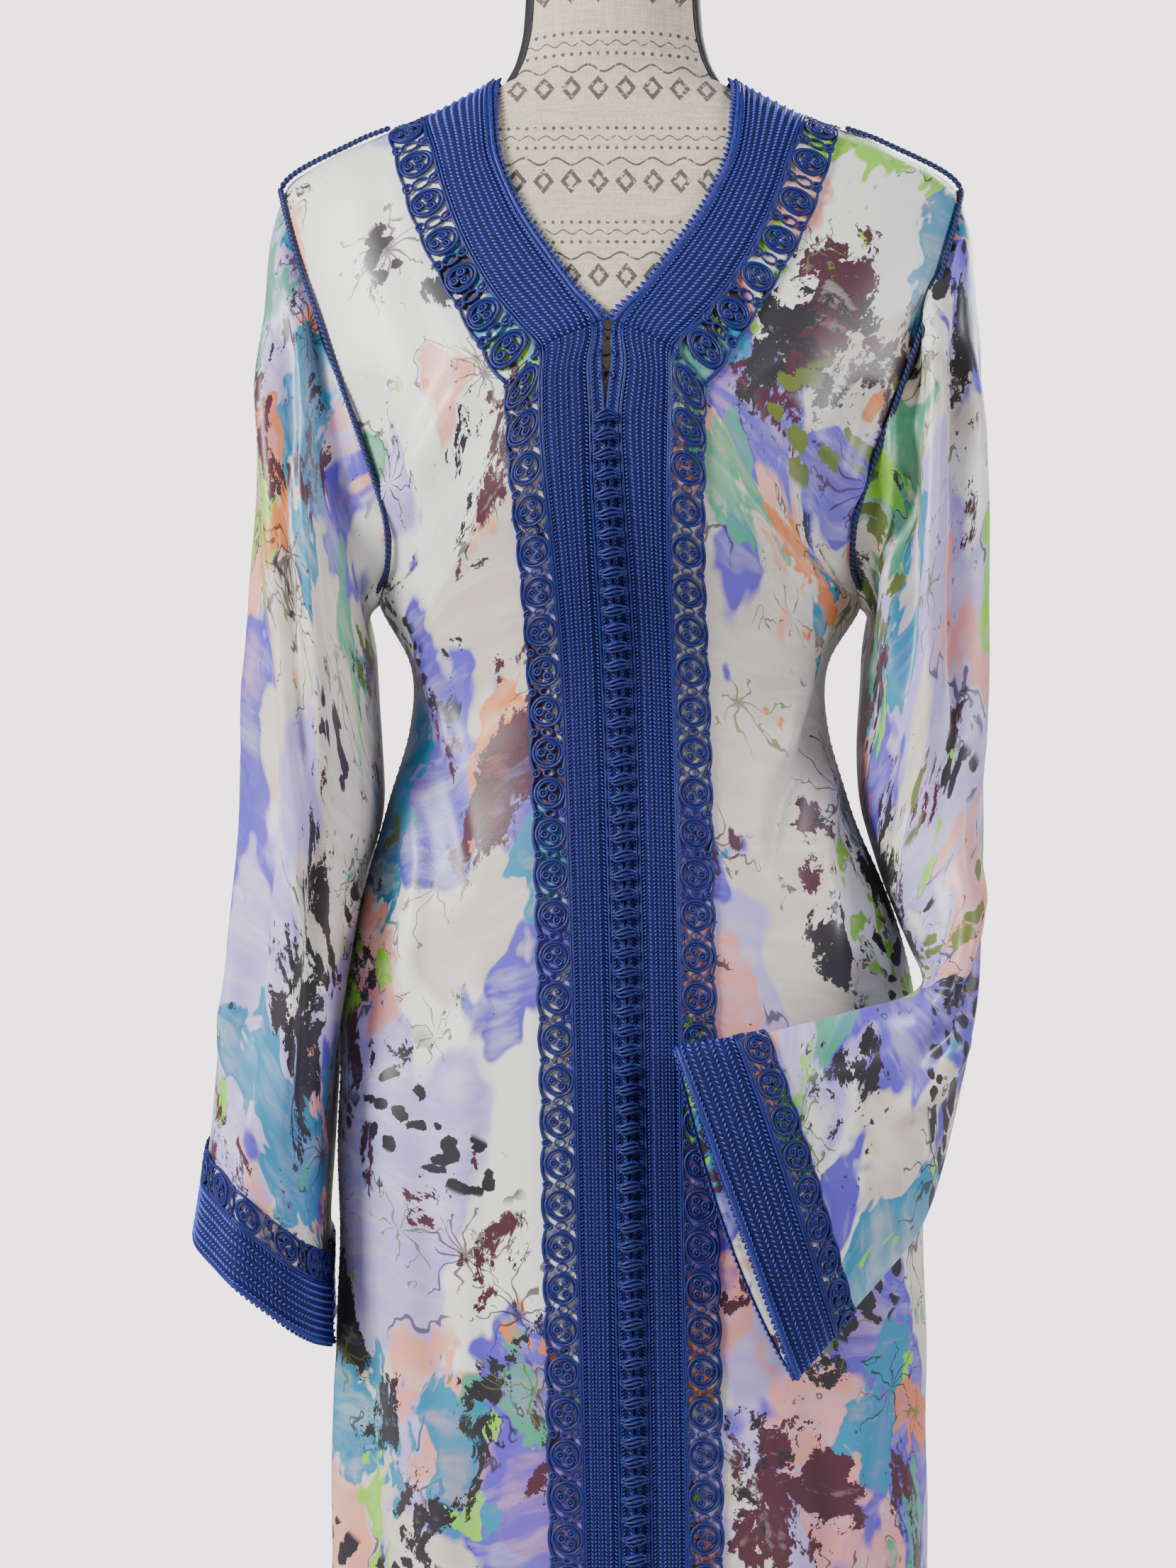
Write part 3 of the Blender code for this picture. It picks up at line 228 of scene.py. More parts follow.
FOLDED_SLEEVE = (
    (0.2300, 1.345, 0.1700, 1.100, 0.000, 0.082, 0.0),
    (0.2340, 1.290, 0.1610, 1.060, -0.002, 0.087, 0.0),
    (0.2350, 1.225, 0.1570, 1.020, -0.004, 0.090, 0.0),
    (0.2350, 1.150, 0.1590, 0.980, -0.006, 0.090, 0.0),
    (0.2345, 1.060, 0.1680, 0.945, -0.010, 0.088, 0.0),
    (0.2325, 0.975, 0.1790, 0.912, -0.018, 0.080, 0.06),
    (0.2270, 0.900, 0.1880, 0.890, -0.034, 0.066, 0.25),
    (0.2190, 0.845, 0.1900, 0.876, -0.052, 0.048, 0.55),
    (0.2080, 0.790, 0.1740, 0.868, -0.070, 0.030, 0.85),
    (0.1950, 0.742, 0.1500, 0.861, -0.080, 0.018, 1.0),
    (0.1780, 0.713, 0.1200, 0.854, -0.090, 0.014, 1.0),
    (0.1580, 0.692, 0.0930, 0.848, -0.100, 0.013, 1.0),
    (0.1370, 0.668, 0.0670, 0.844, -0.105, 0.013, 1.0),
    (0.1100, 0.640, 0.0380, 0.839, -0.110, 0.013, 1.0),
)
SLEEVE_CLEAR = 0.0030
CUFF_CLEAR = 0.0068
CAP_BLEND = (0.50, 0.82)
FOLDED_CLEAR = 0.0085
SLEEVE_FOLDS = (
    (38.0, 14.0, 0.0035),
    (78.0, 12.0, 0.0045),
    (118.0, 14.0, 0.0035),
    (222.0, 16.0, 0.0040),
    (268.0, 14.0, 0.0050),
    (318.0, 14.0, 0.0035),
)
CUFF_CLEAR_START = 0.6
NORMAL_MATCH = (-0.1, 0.6)
SLEEVE_POWERS = (0.92, 0.9)
SLEEVE_SEAM_GAP = 0.00045
HANGING_SHIFT = 0.006
TAUT_LINE = (0.121, 0.36, 0.07)
ARM_MIDDLE = (0.2, 1.245)
CUFF_BRAID_WIDTH = 0.036
CUFF_LACE_WIDTH = 0.021

# Dress form and stand
FORM_WALL = 0.0014
FORM_EASE = 0.0044
FORM_SKIRT_EASE = 0.0060
FORM_TIP_EASE = 0.0045
FORM_SKIRT_BLEND = (1.20, 1.05)
FORM_TIP_BLEND = (0.10, 0.15)
FORM_TIP_START = 1.30
FORM_BOTTOM = 0.720
NECK_RINGS = (
    (1.4440, 0.0690, 0.0490),
    (1.4580, 0.0615, 0.0505),
    (1.4800, 0.0565, 0.0515),
    (1.5250, 0.0540, 0.0510),
)
NECK_CAP = (
    (1.5254, 0.0560, 0.0530),
    (1.5300, 0.0565, 0.0535),
    (1.5350, 0.0520, 0.0490),
    (1.5375, 0.0300, 0.0280),
)
POLE_RADIUS = 0.0140
POLE_GAPS = (0.0003, 0.0123)
FOOT_BEVEL = 0.0008
TAPE_HEIGHTS = (1.4445, 1.5245)
TAPE_WALL = 0.0004
TAPE_LIFT = 0.0006
BASE_PROFILE = (
    (0.170, 0.000),
    (0.172, 0.004),
    (0.170, 0.009),
    (0.060, 0.013),
    (0.030, 0.022),
    (0.0230, 0.040),
)
NECK_CENTRE = (0.001, 0.005)
TAPE_TURNS = (-26.0, -13.0, 0.0, 9.0, 18.0)
FORM_SEGMENTS = 96

# Listed creases: (path of x and z), width, height
SLEEVE_RIGHT_CREASES = (
    (((-0.214, 1.315), (-0.207, 1.190), (-0.201, 1.078), (-0.195, 0.960)), 0.0085, 0.0105),
    (((-0.203, 1.300), (-0.196, 1.180), (-0.190, 1.070)), 0.0065, -0.0070),
    (((-0.196, 1.215), (-0.189, 1.133), (-0.182, 1.060), (-0.178, 0.980)), 0.0080, 0.0100),
    (((-0.184, 1.290), (-0.170, 1.220), (-0.159, 1.150)), 0.0090, -0.0070),
    (((-0.225, 1.290), (-0.224, 1.150), (-0.227, 1.000)), 0.0085, 0.0070),
    (((-0.206, 1.100), (-0.211, 0.940), (-0.222, 0.790)), 0.0100, -0.0095),
    (((-0.190, 1.020), (-0.196, 0.880), (-0.203, 0.770)), 0.0095, 0.0100),
    (((-0.180, 0.980), (-0.184, 0.870), (-0.188, 0.770)), 0.0070, -0.0070),
    (((-0.236, 1.000), (-0.242, 0.820)), 0.0100, 0.0080),
    (((-0.224, 0.900), (-0.231, 0.780)), 0.0080, -0.0070),
)
SLEEVE_LEFT_CREASES = (
    (((0.204, 1.345), (0.201, 1.22), (0.196, 1.10), (0.193, 0.97)), 0.0085, 0.0115),
    (((0.189, 1.30), (0.186, 1.18), (0.183, 1.05)), 0.0070, -0.0085),
    (((0.173, 1.24), (0.173, 1.14), (0.176, 1.03)), 0.0070, 0.0080),
    (((0.214, 1.31), (0.212, 1.17), (0.209, 1.01)), 0.0070, -0.0085),
    (((0.224, 1.28), (0.225, 1.12), (0.222, 0.96)), 0.0080, 0.0085),
    (((0.228, 0.950), (0.212, 0.885), (0.186, 0.852)), 0.0095, 0.0070),
    (((0.226, 0.905), (0.206, 0.850), (0.178, 0.828)), 0.0085, -0.0060),
    (((0.215, 0.850), (0.196, 0.812), (0.166, 0.792)), 0.0085, 0.0050),
    (((0.176, 0.765), (0.148, 0.752), (0.118, 0.742)), 0.0110, 0.0035),
    (((0.170, 0.842), (0.130, 0.828), (0.100, 0.822)), 0.0090, -0.0025),
)
FRONT_RIGHT_CREASES = (
    (((-0.132, 1.130), (-0.112, 1.070), (-0.096, 1.000)), 0.010, 0.0058),
    (((-0.124, 1.060), (-0.104, 1.005), (-0.088, 0.930)), 0.009, -0.0043),
    (((-0.130, 1.020), (-0.119, 0.950), (-0.126, 0.860)), 0.010, 0.0058),
    (((-0.150, 1.160), (-0.114, 1.200), (-0.088, 1.255)), 0.014, 0.0051),
    (((-0.156, 1.250), (-0.127, 1.180), (-0.112, 1.100)), 0.013, -0.0043),
    (((-0.152, 0.860), (-0.127, 0.740), (-0.116, 0.550)), 0.018, 0.0072),
    (((-0.082, 0.900), (-0.091, 0.750), (-0.086, 0.560)), 0.015, 0.0058),
    (((-0.168, 0.700), (-0.161, 0.500), (-0.166, 0.250)), 0.018, 0.0087),
    (((-0.104, 0.620), (-0.098, 0.400), (-0.107, 0.100)), 0.018, 0.0087),
)
FRONT_LEFT_CREASES = (
    (((0.140, 1.125), (0.120, 1.065), (0.104, 0.990)), 0.010, 0.0058),
    (((0.132, 1.050), (0.111, 1.000), (0.097, 0.940)), 0.009, -0.0043),
    (((0.139, 1.015), (0.131, 0.950), (0.140, 0.880)), 0.010, 0.0058),
    (((0.160, 1.170), (0.122, 1.205), (0.096, 1.250)), 0.014, 0.0051),
    (((0.164, 1.245), (0.136, 1.185), (0.121, 1.110)), 0.012, -0.0043),
    (((0.160, 0.640), (0.140, 0.520), (0.136, 0.330)), 0.018, 0.0072),
    (((0.104, 0.630), (0.110, 0.500), (0.104, 0.300)), 0.016, 0.0065),
    (((0.178, 0.600), (0.176, 0.400), (0.182, 0.150)), 0.018, 0.0087),
)
BACK_CREASES = (
    (((-0.135, 1.120), (-0.085, 1.070), (-0.030, 1.050)), 0.012, 0.0035),
    (((0.140, 1.110), (0.090, 1.055), (0.035, 1.035)), 0.012, 0.0035),
    (((-0.125, 1.030), (-0.080, 0.990), (-0.040, 0.975)), 0.010, -0.0030),
    (((0.128, 1.025), (0.085, 0.985), (0.045, 0.970)), 0.010, -0.0030),
    (((-0.110, 0.940), (-0.120, 0.780), (-0.112, 0.560)), 0.018, 0.0050),
    (((0.118, 0.930), (0.130, 0.760), (0.124, 0.540)), 0.018, 0.0050),
    (((-0.035, 0.930), (-0.045, 0.720), (-0.038, 0.400)), 0.018, 0.0055),
    (((0.050, 0.900), (0.058, 0.700), (0.050, 0.360)), 0.018, 0.0050),
    (((-0.150, 1.290), (-0.110, 1.230), (-0.090, 1.150)), 0.014, -0.0030),
    (((0.155, 1.285), (0.118, 1.225), (0.100, 1.150)), 0.014, -0.0030),
    (((-0.080, 0.500), (-0.086, 0.300), (-0.080, 0.080)), 0.020, 0.0065),
    (((0.092, 0.480), (0.100, 0.280), (0.094, 0.080)), 0.020, 0.0065),
)

CREASE_FACING = (0.08, 0.45)
CREASE_SIDES = (0.75, 1.35)
CREASE_FADE = 6.4
CREASE_DIP = 0.55
WAVE = 0.00045
TRIM_COLUMNS = (3.0, 4.6)
TRIM_ROWS = (3.4, 2.2)
BACK_CREASES_USED = 5
BACK_CREASE_RISE = 0.03
BACK_CREASE_WIDTH = 1.1

# Slide of the laid cuff's back layer, how far a point faces back to count, and its share on the last rows
BACK_LAYER_SLIDE = 0.0095
BACK_LAYER_FACING = (0.05, 0.55)
BACK_LAYER_ROWS = ((-1, 1.0), (-2, 1.0), (-3, 0.8), (-4, 0.4))

# Panels: name, solid, columns, rows, place on the print, flat size, whole cut
PANELS = (
    ("front_right", "front_right", 85, 231, (0.35, 0.10), (0.40, 1.47), 0.400),
    ("front_left", "front_left", 85, 231, (1.15, 0.35), (0.40, 1.47), 0.400),
    ("back", "back", 121, 191, (2.4, 0.2), (0.72, 1.40), 0.760),
    ("back_neck", "back", 13, 121, (6.0, 0.0), (0.06, 0.36), None),
    ("sleeve_right", "sleeve_right", 153, 161, (3.6, 0.15), (0.50, 0.66), 0.275),
    ("sleeve_left", "sleeve_left", 153, 161, (4.7, 0.55), (0.50, 0.66), 0.240),
)

# Grid columns of each strip on the front and neck, cuff rows before the last, and strip widths
STRIP_COLUMNS = {"braid": (1.02, 1.99), "lace": (2.03, 3.0), "edge": (0.0, 1.0)}
CUFF_ROWS = {"braid": (0.02, 0.985), "lace": (1.03, 1.98), "edge": (0.0, 0.1)}
FRONT_WIDTHS = {"braid": 0.024, "lace": 0.0215, "edge": BRAID_INNER}
NECK_WIDTHS = {"braid": 0.034, "lace": 0.020, "edge": 0.0026}
CUFF_WIDTHS = {"braid": 0.035, "lace": 0.0208, "edge": 0.0036}
RIBBON_STEP = 0.006
RIBBON_LINES = 5
RIBBON_THICKNESS = 0.0008

# Stitches of even and odd rows: share of the row's width and of the pitch, slant, height, start
HERRINGBONE = ((0.62, 0.29, 42.0, 0.0021, 0.5), (0.62, 0.29, -42.0, 0.0021, 0.5))
ROPE = ((0.62, 0.31, 38.0, 0.0025, 0.25), (0.62, 0.31, 38.0, 0.0025, 0.5))
LEAF_DEPTH = 0.0003

# Height and radius of the cords along a braid's edges
EDGE_CORD = (0.0010, 0.0010)

# Knots: size along, across and up, rise off the braid, cord radius, and the loops' path:
# share of the pair's spacing, distance from the middle, height
KNOT_SIZE = (0.0044, 0.0055, 0.0038)
KNOT_RISE = 0.0022
KNOT_CORD = 0.00095
BUTTON_REACH = 0.02
LOOP_PATH = ((0.5, 0.0074, 0.0011), (1.0, 0.0056, 0.0014), (1.4, 0.0038, 0.0017), (0.7, 0.0022, 0.0018))

# Seam cords, picots, slit eyes and running stitches
PIPING_LIFT = 0.0026
PIPING_STEP = 0.0011
TWIST_RADIUS = 0.00090
STRAND_RADIUS = 0.00120
TWIST_PITCH = 0.0075
SHOULDER_ANGLE = 86.5
SHOULDER_LIFT = 0.0020
PICOT_PITCH = 0.0040
SLIT_EYES = (0.008, 0.022, 0.036)
STITCH_PITCH = 0.0062
HEM_STITCH_ROW = 0.35

# Lights: name, place, height they look at, size, share of the key's power, tint
LIGHTS = (
    ("key", (-2.3, -1.5, 2.4), 0.95, 1.1, 1.0, (1.0, 0.98, 0.95)),
    ("fill", (2.3, -1.1, 1.9), 1.0, 1.1, 0.30, (0.95, 0.97, 1.0)),
    ("rim", (1.2, 2.0, 2.2), 1.1, 1.2, 0.35, (1.0, 1.0, 1.0)),
)
FLOOR_RADIUS = 2.1
FLOOR_GAP = 0.0005
CAMERA_PLACE = (-0.015, -2.4, 0.9975)
LENS = 86.4
SENSOR_WIDTH = 36.0

# Colours: name, label and value
COLOUR_TABLE = (
    ("satin", "Satin", (0.800, 0.815, 0.790)),
    ("periwinkle", "Periwinkle wash", (0.095, 0.065, 0.520)),
    ("lilac", "Lilac wash", (0.400, 0.330, 0.740)),
    ("teal", "Teal wash", (0.020, 0.220, 0.400)),
    ("sea", "Sea green wash", (0.060, 0.330, 0.200)),
    ("lime", "Lime wash", (0.240, 0.600, 0.040)),
    ("coral", "Coral wash", (0.780, 0.290, 0.190)),
    ("stone", "Warm grey wash", (0.560, 0.490, 0.420)),
    ("orange", "Orange wash", (0.700, 0.190, 0.030)),
    ("maroon", "Maroon wash", (0.070, 0.018, 0.034)),
    ("olive", "Olive brush marks", (0.110, 0.150, 0.020)),
    ("ink", "Dark brush marks", (0.022, 0.020, 0.026)),
    ("braid", "Braid", (0.028, 0.044, 0.380)),
    # Painted highlight on the tops of the silk stitches' strands
    ("braid_bright", "Braid highlights", (0.085, 0.125, 0.720)),
    # Painted shade in the hollows between strands of the braid ground, edge cords and edging
    ("braid_dark", "Braid hollows", (0.003, 0.004, 0.030)),
    # The braid ground's own navy, made very dark so it also stands for painted shade between the stitches
    ("ground", "Braid ground", (0.006, 0.009, 0.100)),
    ("lace", "Lace", (0.013, 0.022, 0.200)),
    # Painted shade between the lace thread's strands
    ("lace_dark", "Lace hollows", (0.004, 0.006, 0.045)),
    ("knot", "Knots", (0.014, 0.026, 0.210)),
    # Painted shade between the knot thread's strands
    ("knot_dark", "Knot hollows", (0.003, 0.005, 0.040)),
    ("piping", "Piping", (0.026, 0.034, 0.150)),
    # Painted shade between the piping cord's strands
    ("piping_dark", "Piping hollows", (0.010, 0.013, 0.060)),
    ("linen", "Linen", (0.660, 0.600, 0.480)),
    # Painted shade in the linen's weave and between the sewing thread's strands
    ("linen_dark", "Linen hollows", (0.500, 0.440, 0.330)),
    ("tape", "Form tape", (0.014, 0.014, 0.018)),
    ("wood", "Wood", (0.300, 0.170, 0.080)),
    ("wood_dark", "Wood grain", (0.170, 0.085, 0.035)),
    ("metal", "Coated steel", (0.025, 0.025, 0.027)),
    ("floor", "Floor", (0.800, 0.770, 0.760)),
    ("backdrop", "Backdrop", (0.815, 0.745, 0.742)),
)


def smooth_step(value, low, high):
    """Smooth rise from 0 to 1 between two values."""
    share = np.clip((value - low) / (high - low), 0.0, 1.0)
    return share * share * (3.0 - 2.0 * share)


def ramp(value, low, high):
    """Even rise from 0 to 1 between two values."""
    return min(1.0, max(0.0, (value - low) / (high - low)))


def hermite(part):
    """Weights of a cubic's start value, start slope, end value and end slope."""
    square, cube = part * part, part * part * part
    return 2 * cube - 3 * square + 1, cube - 2 * square + part, 3 * square - 2 * cube, cube - square


def table_value(rows, key, column):
    """Smooth value of a table's column at a key in its first column."""
    if key <= rows[0][0]:
        return rows[0][column]
    if key >= rows[-1][0]:
        return rows[-1][column]
    index = 0
    while rows[index + 1][0] < key:
        index += 1
    rises = [(b[column] - a[column]) / (b[0] - a[0]) for a, b in zip(rows, rows[1:])]
    span = rows[index + 1][0] - rows[index][0]

    def slope(middle):
        """Slope at a row, held between its neighbours' slopes."""
        if middle == 0 or middle == len(rows) - 1:
            return rises[index]
        left, right = rises[middle - 1], rises[middle]
        return 2.0 * left * right / (left + right) if left * right > 0.0 else 0.0

    values = rows[index][column], slope(index) * span, rows[index + 1][column], slope(index + 1) * span
    weights = hermite((key - rows[index][0]) / span)
    return sum(weight * value for weight, value in zip(weights, values))


def signed_power(value, power):
    """Power that keeps the sign."""
    return math.copysign(abs(value) ** power, value)


def ridge_height(ridges, angle):
    """Height of rounded ridges at an angle in degrees."""
    total = 0.0
    for ridge, width, depth in ridges:
        away = (angle - ridge + 180.0) % 360.0 - 180.0
        total += depth * math.exp(-((away / width) ** 2))
    return total


def fold_height(angle, z):
    """How far the skirt's folds stand out at an angle in degrees and a height."""
    return ridge_height(FOLDS, angle) * float(smooth_step(z, FOLD_START, FOLD_FULL))


def body_point(angle, z, folds=True):
    """Outer cloth point of the body at an angle in degrees (0 front, 90 wearer's left)."""
    half = table_value(BODY, z, 1)
    centre = table_value(BODY, z, 2)
    turn = math.radians(angle)
    s, c = math.sin(turn), math.cos(turn)
    depth = table_value(BODY, z, 3 if c > 0.0 else 4)
    x = centre + half * signed_power(s, 2.0 / SECTION_POWER)
    y = -depth * signed_power(c, 2.0 / SECTION_POWER)
    bump = fold_height(angle, z) if folds else 0.0
    return Vector((x + bump * s, y - bump * c, z))


def body_normal(angle, z, folds=True):
    """Outward direction of the body's cloth."""
    across = body_point(angle + NORMAL_TURN, z, folds) - body_point(angle - NORMAL_TURN, z, folds)
    up = body_point(angle, z + NORMAL_RISE, folds) - body_point(angle, z - NORMAL_RISE, folds)
    return across.cross(up).normalized()


def angle_at(x, z, back=False):
    """Angle of the body point with this x on the front or back."""
    share = (x - table_value(BODY, z, 2)) / table_value(BODY, z, 1)
    share = max(-1.0, min(1.0, share))
    turn = math.degrees(math.asin(signed_power(share, SECTION_POWER / 2.0)))
    if back:
        turn = math.copysign(180.0, turn if turn else 1.0) - turn
    return turn


def front_depth(x, z):
    """How far forward the body's front is at x and z."""
    half = table_value(BODY, z, 1)
    share = min(1.0, abs((x - table_value(BODY, z, 2)) / half))
    return table_value(BODY, z, 3) * (1.0 - share ** SECTION_POWER) ** (1.0 / SECTION_POWER)


class Patch:
    """A grid of cloth points with their outward directions."""

    def __init__(self, points, normals):
        self.points = points
        self.normals = normals
        self.rows = len(points)
        self.columns = len(points[0])


def spread_weights(place, knots, closed):
    """Indices and weights that blend four grid lines smoothly at each place."""
    count = len(knots)
    cell = np.clip(np.floor(place).astype(int), 0, count - 2)
    steps = np.diff(knots)
    here = steps[cell]
    index = cell[..., None] + np.arange(-1, 3)
    if closed:
        index = index % (count - 1)
        before, after = steps[(cell - 1) % (count - 1)], steps[(cell + 1) % (count - 1)]
    else:
        index = np.clip(index, 0, count - 1)
        before, after = steps[np.maximum(cell - 1, 0)], steps[np.minimum(cell + 1, count - 2)]
    first, third = -here / (before * (before + here)), before / (here * (before + here))
    low, high = -after / (here * (here + after)), here / (after * (here + after))
    second, middle = -(first + third), -(low + high)
    if not closed:
        none, plain = 0.0 * here, 1.0 / here
        first, second, third = np.where(cell == 0, (none, -plain, plain), (first, second, third))
        low, middle, high = np.where(cell == count - 2, (-plain, plain, none), (low, middle, high))
    start_value, start_slope, end_value, end_slope = hermite(place - cell)
    start_slope, end_slope = start_slope * here, end_slope * here
    weights = (
        start_slope * first,
        start_value + start_slope * second + end_slope * low,
        start_slope * third + end_value + end_slope * middle,
        end_slope * high,
    )
    return index, np.stack(weights, axis=-1)


def run_lengths(points):
    """Length run at each point of a path."""
    steps = np.linalg.norm(np.diff(points, axis=0), axis=1)
    return np.concatenate([[0.0], np.cumsum(steps)])


class Surface:
    """Smooth cloth through a patch's points, with soft creases laid on it."""

    def __init__(self, patch, closed=False, creases=None):
        self.grid = np.array([[tuple(p) for p in row] for row in patch.points])
        self.rows, self.columns = self.grid.shape[:2]
        self.closed = closed
        self.creases = creases
        across = np.linalg.norm(np.diff(self.grid, axis=1), axis=2).mean(axis=0)
        along = np.linalg.norm(np.diff(self.grid, axis=0), axis=2).mean(axis=1)
        self.across = np.concatenate([[0.0], np.cumsum(np.maximum(across, LEAST_STEP))])
        self.along = np.concatenate([[0.0], np.cumsum(np.maximum(along, LEAST_STEP))])
        column, row = self.columns / 2.0 - 0.5, self.rows / 2.0 - 0.5
        found = self.base_normal(np.array([column]), np.array([row]))[0]
        self.sign = 1.0 if found @ np.array(patch.normals[int(row)][int(column)]) > 0.0 else -1.0

    def base(self, u, v):
        """Points of the uncreased cloth."""
        u, v = np.broadcast_arrays(np.asarray(u, float), np.asarray(v, float))
        if self.closed:
            u = np.mod(u, self.columns - 1.0)
        iu, wu = spread_weights(u, self.across, self.closed)
        iv, wv = spread_weights(v, self.along, False)
        total = np.zeros(u.shape + (3,))
        for a in range(4):
            for b in range(4):
                share = (wv[..., a] * wu[..., b])[..., None]
                total += share * self.grid[iv[..., a], iu[..., b]]
        return total

    def base_normal(self, u, v):
        """Directions square to the uncreased cloth."""
        return self.slope(self.base, u, v)

    def slope(self, what, u, v):
        """Directions square to a surface function."""
        u, v = np.broadcast_arrays(np.asarray(u, float), np.asarray(v, float))
        low_u, high_u = u - SLOPE_STEP, u + SLOPE_STEP
        if not self.closed:
            low_u, high_u = np.maximum(low_u, 0.0), np.minimum(high_u, self.columns - 1.0)
        low_v, high_v = np.maximum(v - SLOPE_STEP, 0.0), np.minimum(v + SLOPE_STEP, self.rows - 1.0)
        way = np.cross(what(high_u, v) - what(low_u, v), what(u, high_v) - what(u, low_v))
        return way / np.maximum(np.linalg.norm(way, axis=-1, keepdims=True), 1e-12)

    def at(self, u, v):
        """Points on the creased cloth."""
        points = self.base(u, v)
        if self.creases is None:
            return points
        ways = self.base_normal(u, v) * self.sign
        u, v = np.broadcast_arrays(np.asarray(u, float), np.asarray(v, float))
        return points + ways * self.creases(points, ways, u, v)[..., None]

    def normal(self, u, v):
        """Outward directions on the creased cloth."""
        return self.slope(self.at, u, v) * self.sign


def crease_height(points, creases):
    """Height that a list of hand-placed creases adds, from each point's x and z.

    A crease is (path of (x, z), width, height); its far side is softer than its near side.
    """
    flat = points[..., (0, 2)]
    total = np.zeros(flat.shape[:-1])
    for path, width, height in creases:
        best = np.full(total.shape, 9.0)
        side = np.zeros(total.shape)
        place = np.zeros(total.shape)
        count = len(path) - 1
        for k in range(count):
            start, end = np.array(path[k]), np.array(path[k + 1])
            run = end - start
            share = np.clip(((flat - start) @ run) / (run @ run), 0.0, 1.0)
            away = np.linalg.norm(flat - start - share[..., None] * run, axis=-1)
            closer = away < best
            best = np.where(closer, away, best)
            turn = run[0] * (flat[..., 1] - start[1]) - run[1] * (flat[..., 0] - start[0])
            side = np.where(closer, np.sign(turn), side)
            place = np.where(closer, (k + share) / count, place)
        share = (best / np.where(side > 0.0, width * CREASE_SIDES[0], width * CREASE_SIDES[1])) ** 2
        fade = np.clip(CREASE_FADE * place * (1.0 - place), 0.0, 1.0)
        total += height * fade * (1.0 - CREASE_DIP * share) * np.exp(-share)
    return total


def centre_x(z):
    """X of the centre front line."""
    return table_value(CENTRE_LINE, z, 1)


def armhole_angle(z, side, back):
    """Angle of the armhole seam at a height."""
    if z <= ARMHOLE[0][0] + NEAR or z >= ARMHOLE[-1][0] - NEAR:
        return 90.0 * side
    offset = table_value(ARMHOLE, z, 2 if back else 1)
    return angle_at(table_value(BODY, z, 2) + side * offset, z, back)


def body_patch(lines, way):
    """Patch from rows of (angle, z, seam) on the body; seam points keep half the gap in the way given."""
    gap = Vector((0.0, way * SEAM_GAP, 0.0))
    points = [[body_point(angle, z) + gap * seam for angle, z, seam in line] for line in lines]
    normals = [[body_normal(angle, z) for angle, z, seam in line] for line in lines]
    return Patch(points, normals)


def toward(start, end, share):
    """Place between two places."""
    return tuple(a + (b - a) * share for a, b in zip(start, end))


def front_patch(side):
    """Front panel of one side, columns from the centre edge to the side seam."""
    lines = []
    last = len(FRONT_ROWS) - 1
    for number, row in enumerate(FRONT_ROWS):
        braid_half, side_z = row[3], row[6]
        places = [(angle_at(centre_x(z) + side * half, z), z) for z, half in (row[0:2], row[2:4], row[4:6])]
        if number == last:
            places = [(90.0 * side, z) for angle, z in places]
        inner, braid, lace = places
        edge = (armhole_angle(side_z, side, False), side_z)
        share = BRAID_INNER / braid_half if number < MITRE_ROW else NECK_EDGE_SHARE
        if number == MITRE_ROW:
            share = 0.5 * (share + BRAID_INNER / braid_half)
        line = [inner, toward(inner, braid, share), braid, lace]
        bend = max(1.0, 2.0 - 0.4 * max(0, number - UNDERARM_ROW - 2))
        if number == UNDERARM_ROW:
            bend = UNDERARM_BEND
        for step in range(1, SIDE_STEPS + 1):
            part = step / SIDE_STEPS
            level = 1.0 - (1.0 - part) ** bend
            line.append((lace[0] + (edge[0] - lace[0]) * part, lace[1] + (edge[1] - lace[1]) * level))
        if number == last:
            line = [(90.0 * side, z) for angle, z in line]
        seams = [number == last] * (len(line) - 1) + [number == last or number <= UNDERARM_ROW]
        lines.append([(*place, seam) for place, seam in zip(line, seams)])
    return body_patch(lines, -1)


def back_angle(offset, z, side):
    """Angle on the back at a distance from the centre."""
    if offset <= 0.0:
        return 180.0
    turn = angle_at(table_value(BODY, z, 2) + side * offset, z, True)
    return turn % 360.0


def neck_line(pick):
    """Line round the back of the neck from shoulder to shoulder; pick finds z and distance in a table row."""
    sides = []
    for side in (1, -1):
        half = []
        for row in NECK_LINES:
            z, offset = pick(row)
            seam = row is NECK_LINES[-1]
            half.append(((90.0 * side) % 360.0 if seam else back_angle(offset, z, side), z, seam))
        sides.append(half)
    return sides[0][::-1] + sides[1][1:]


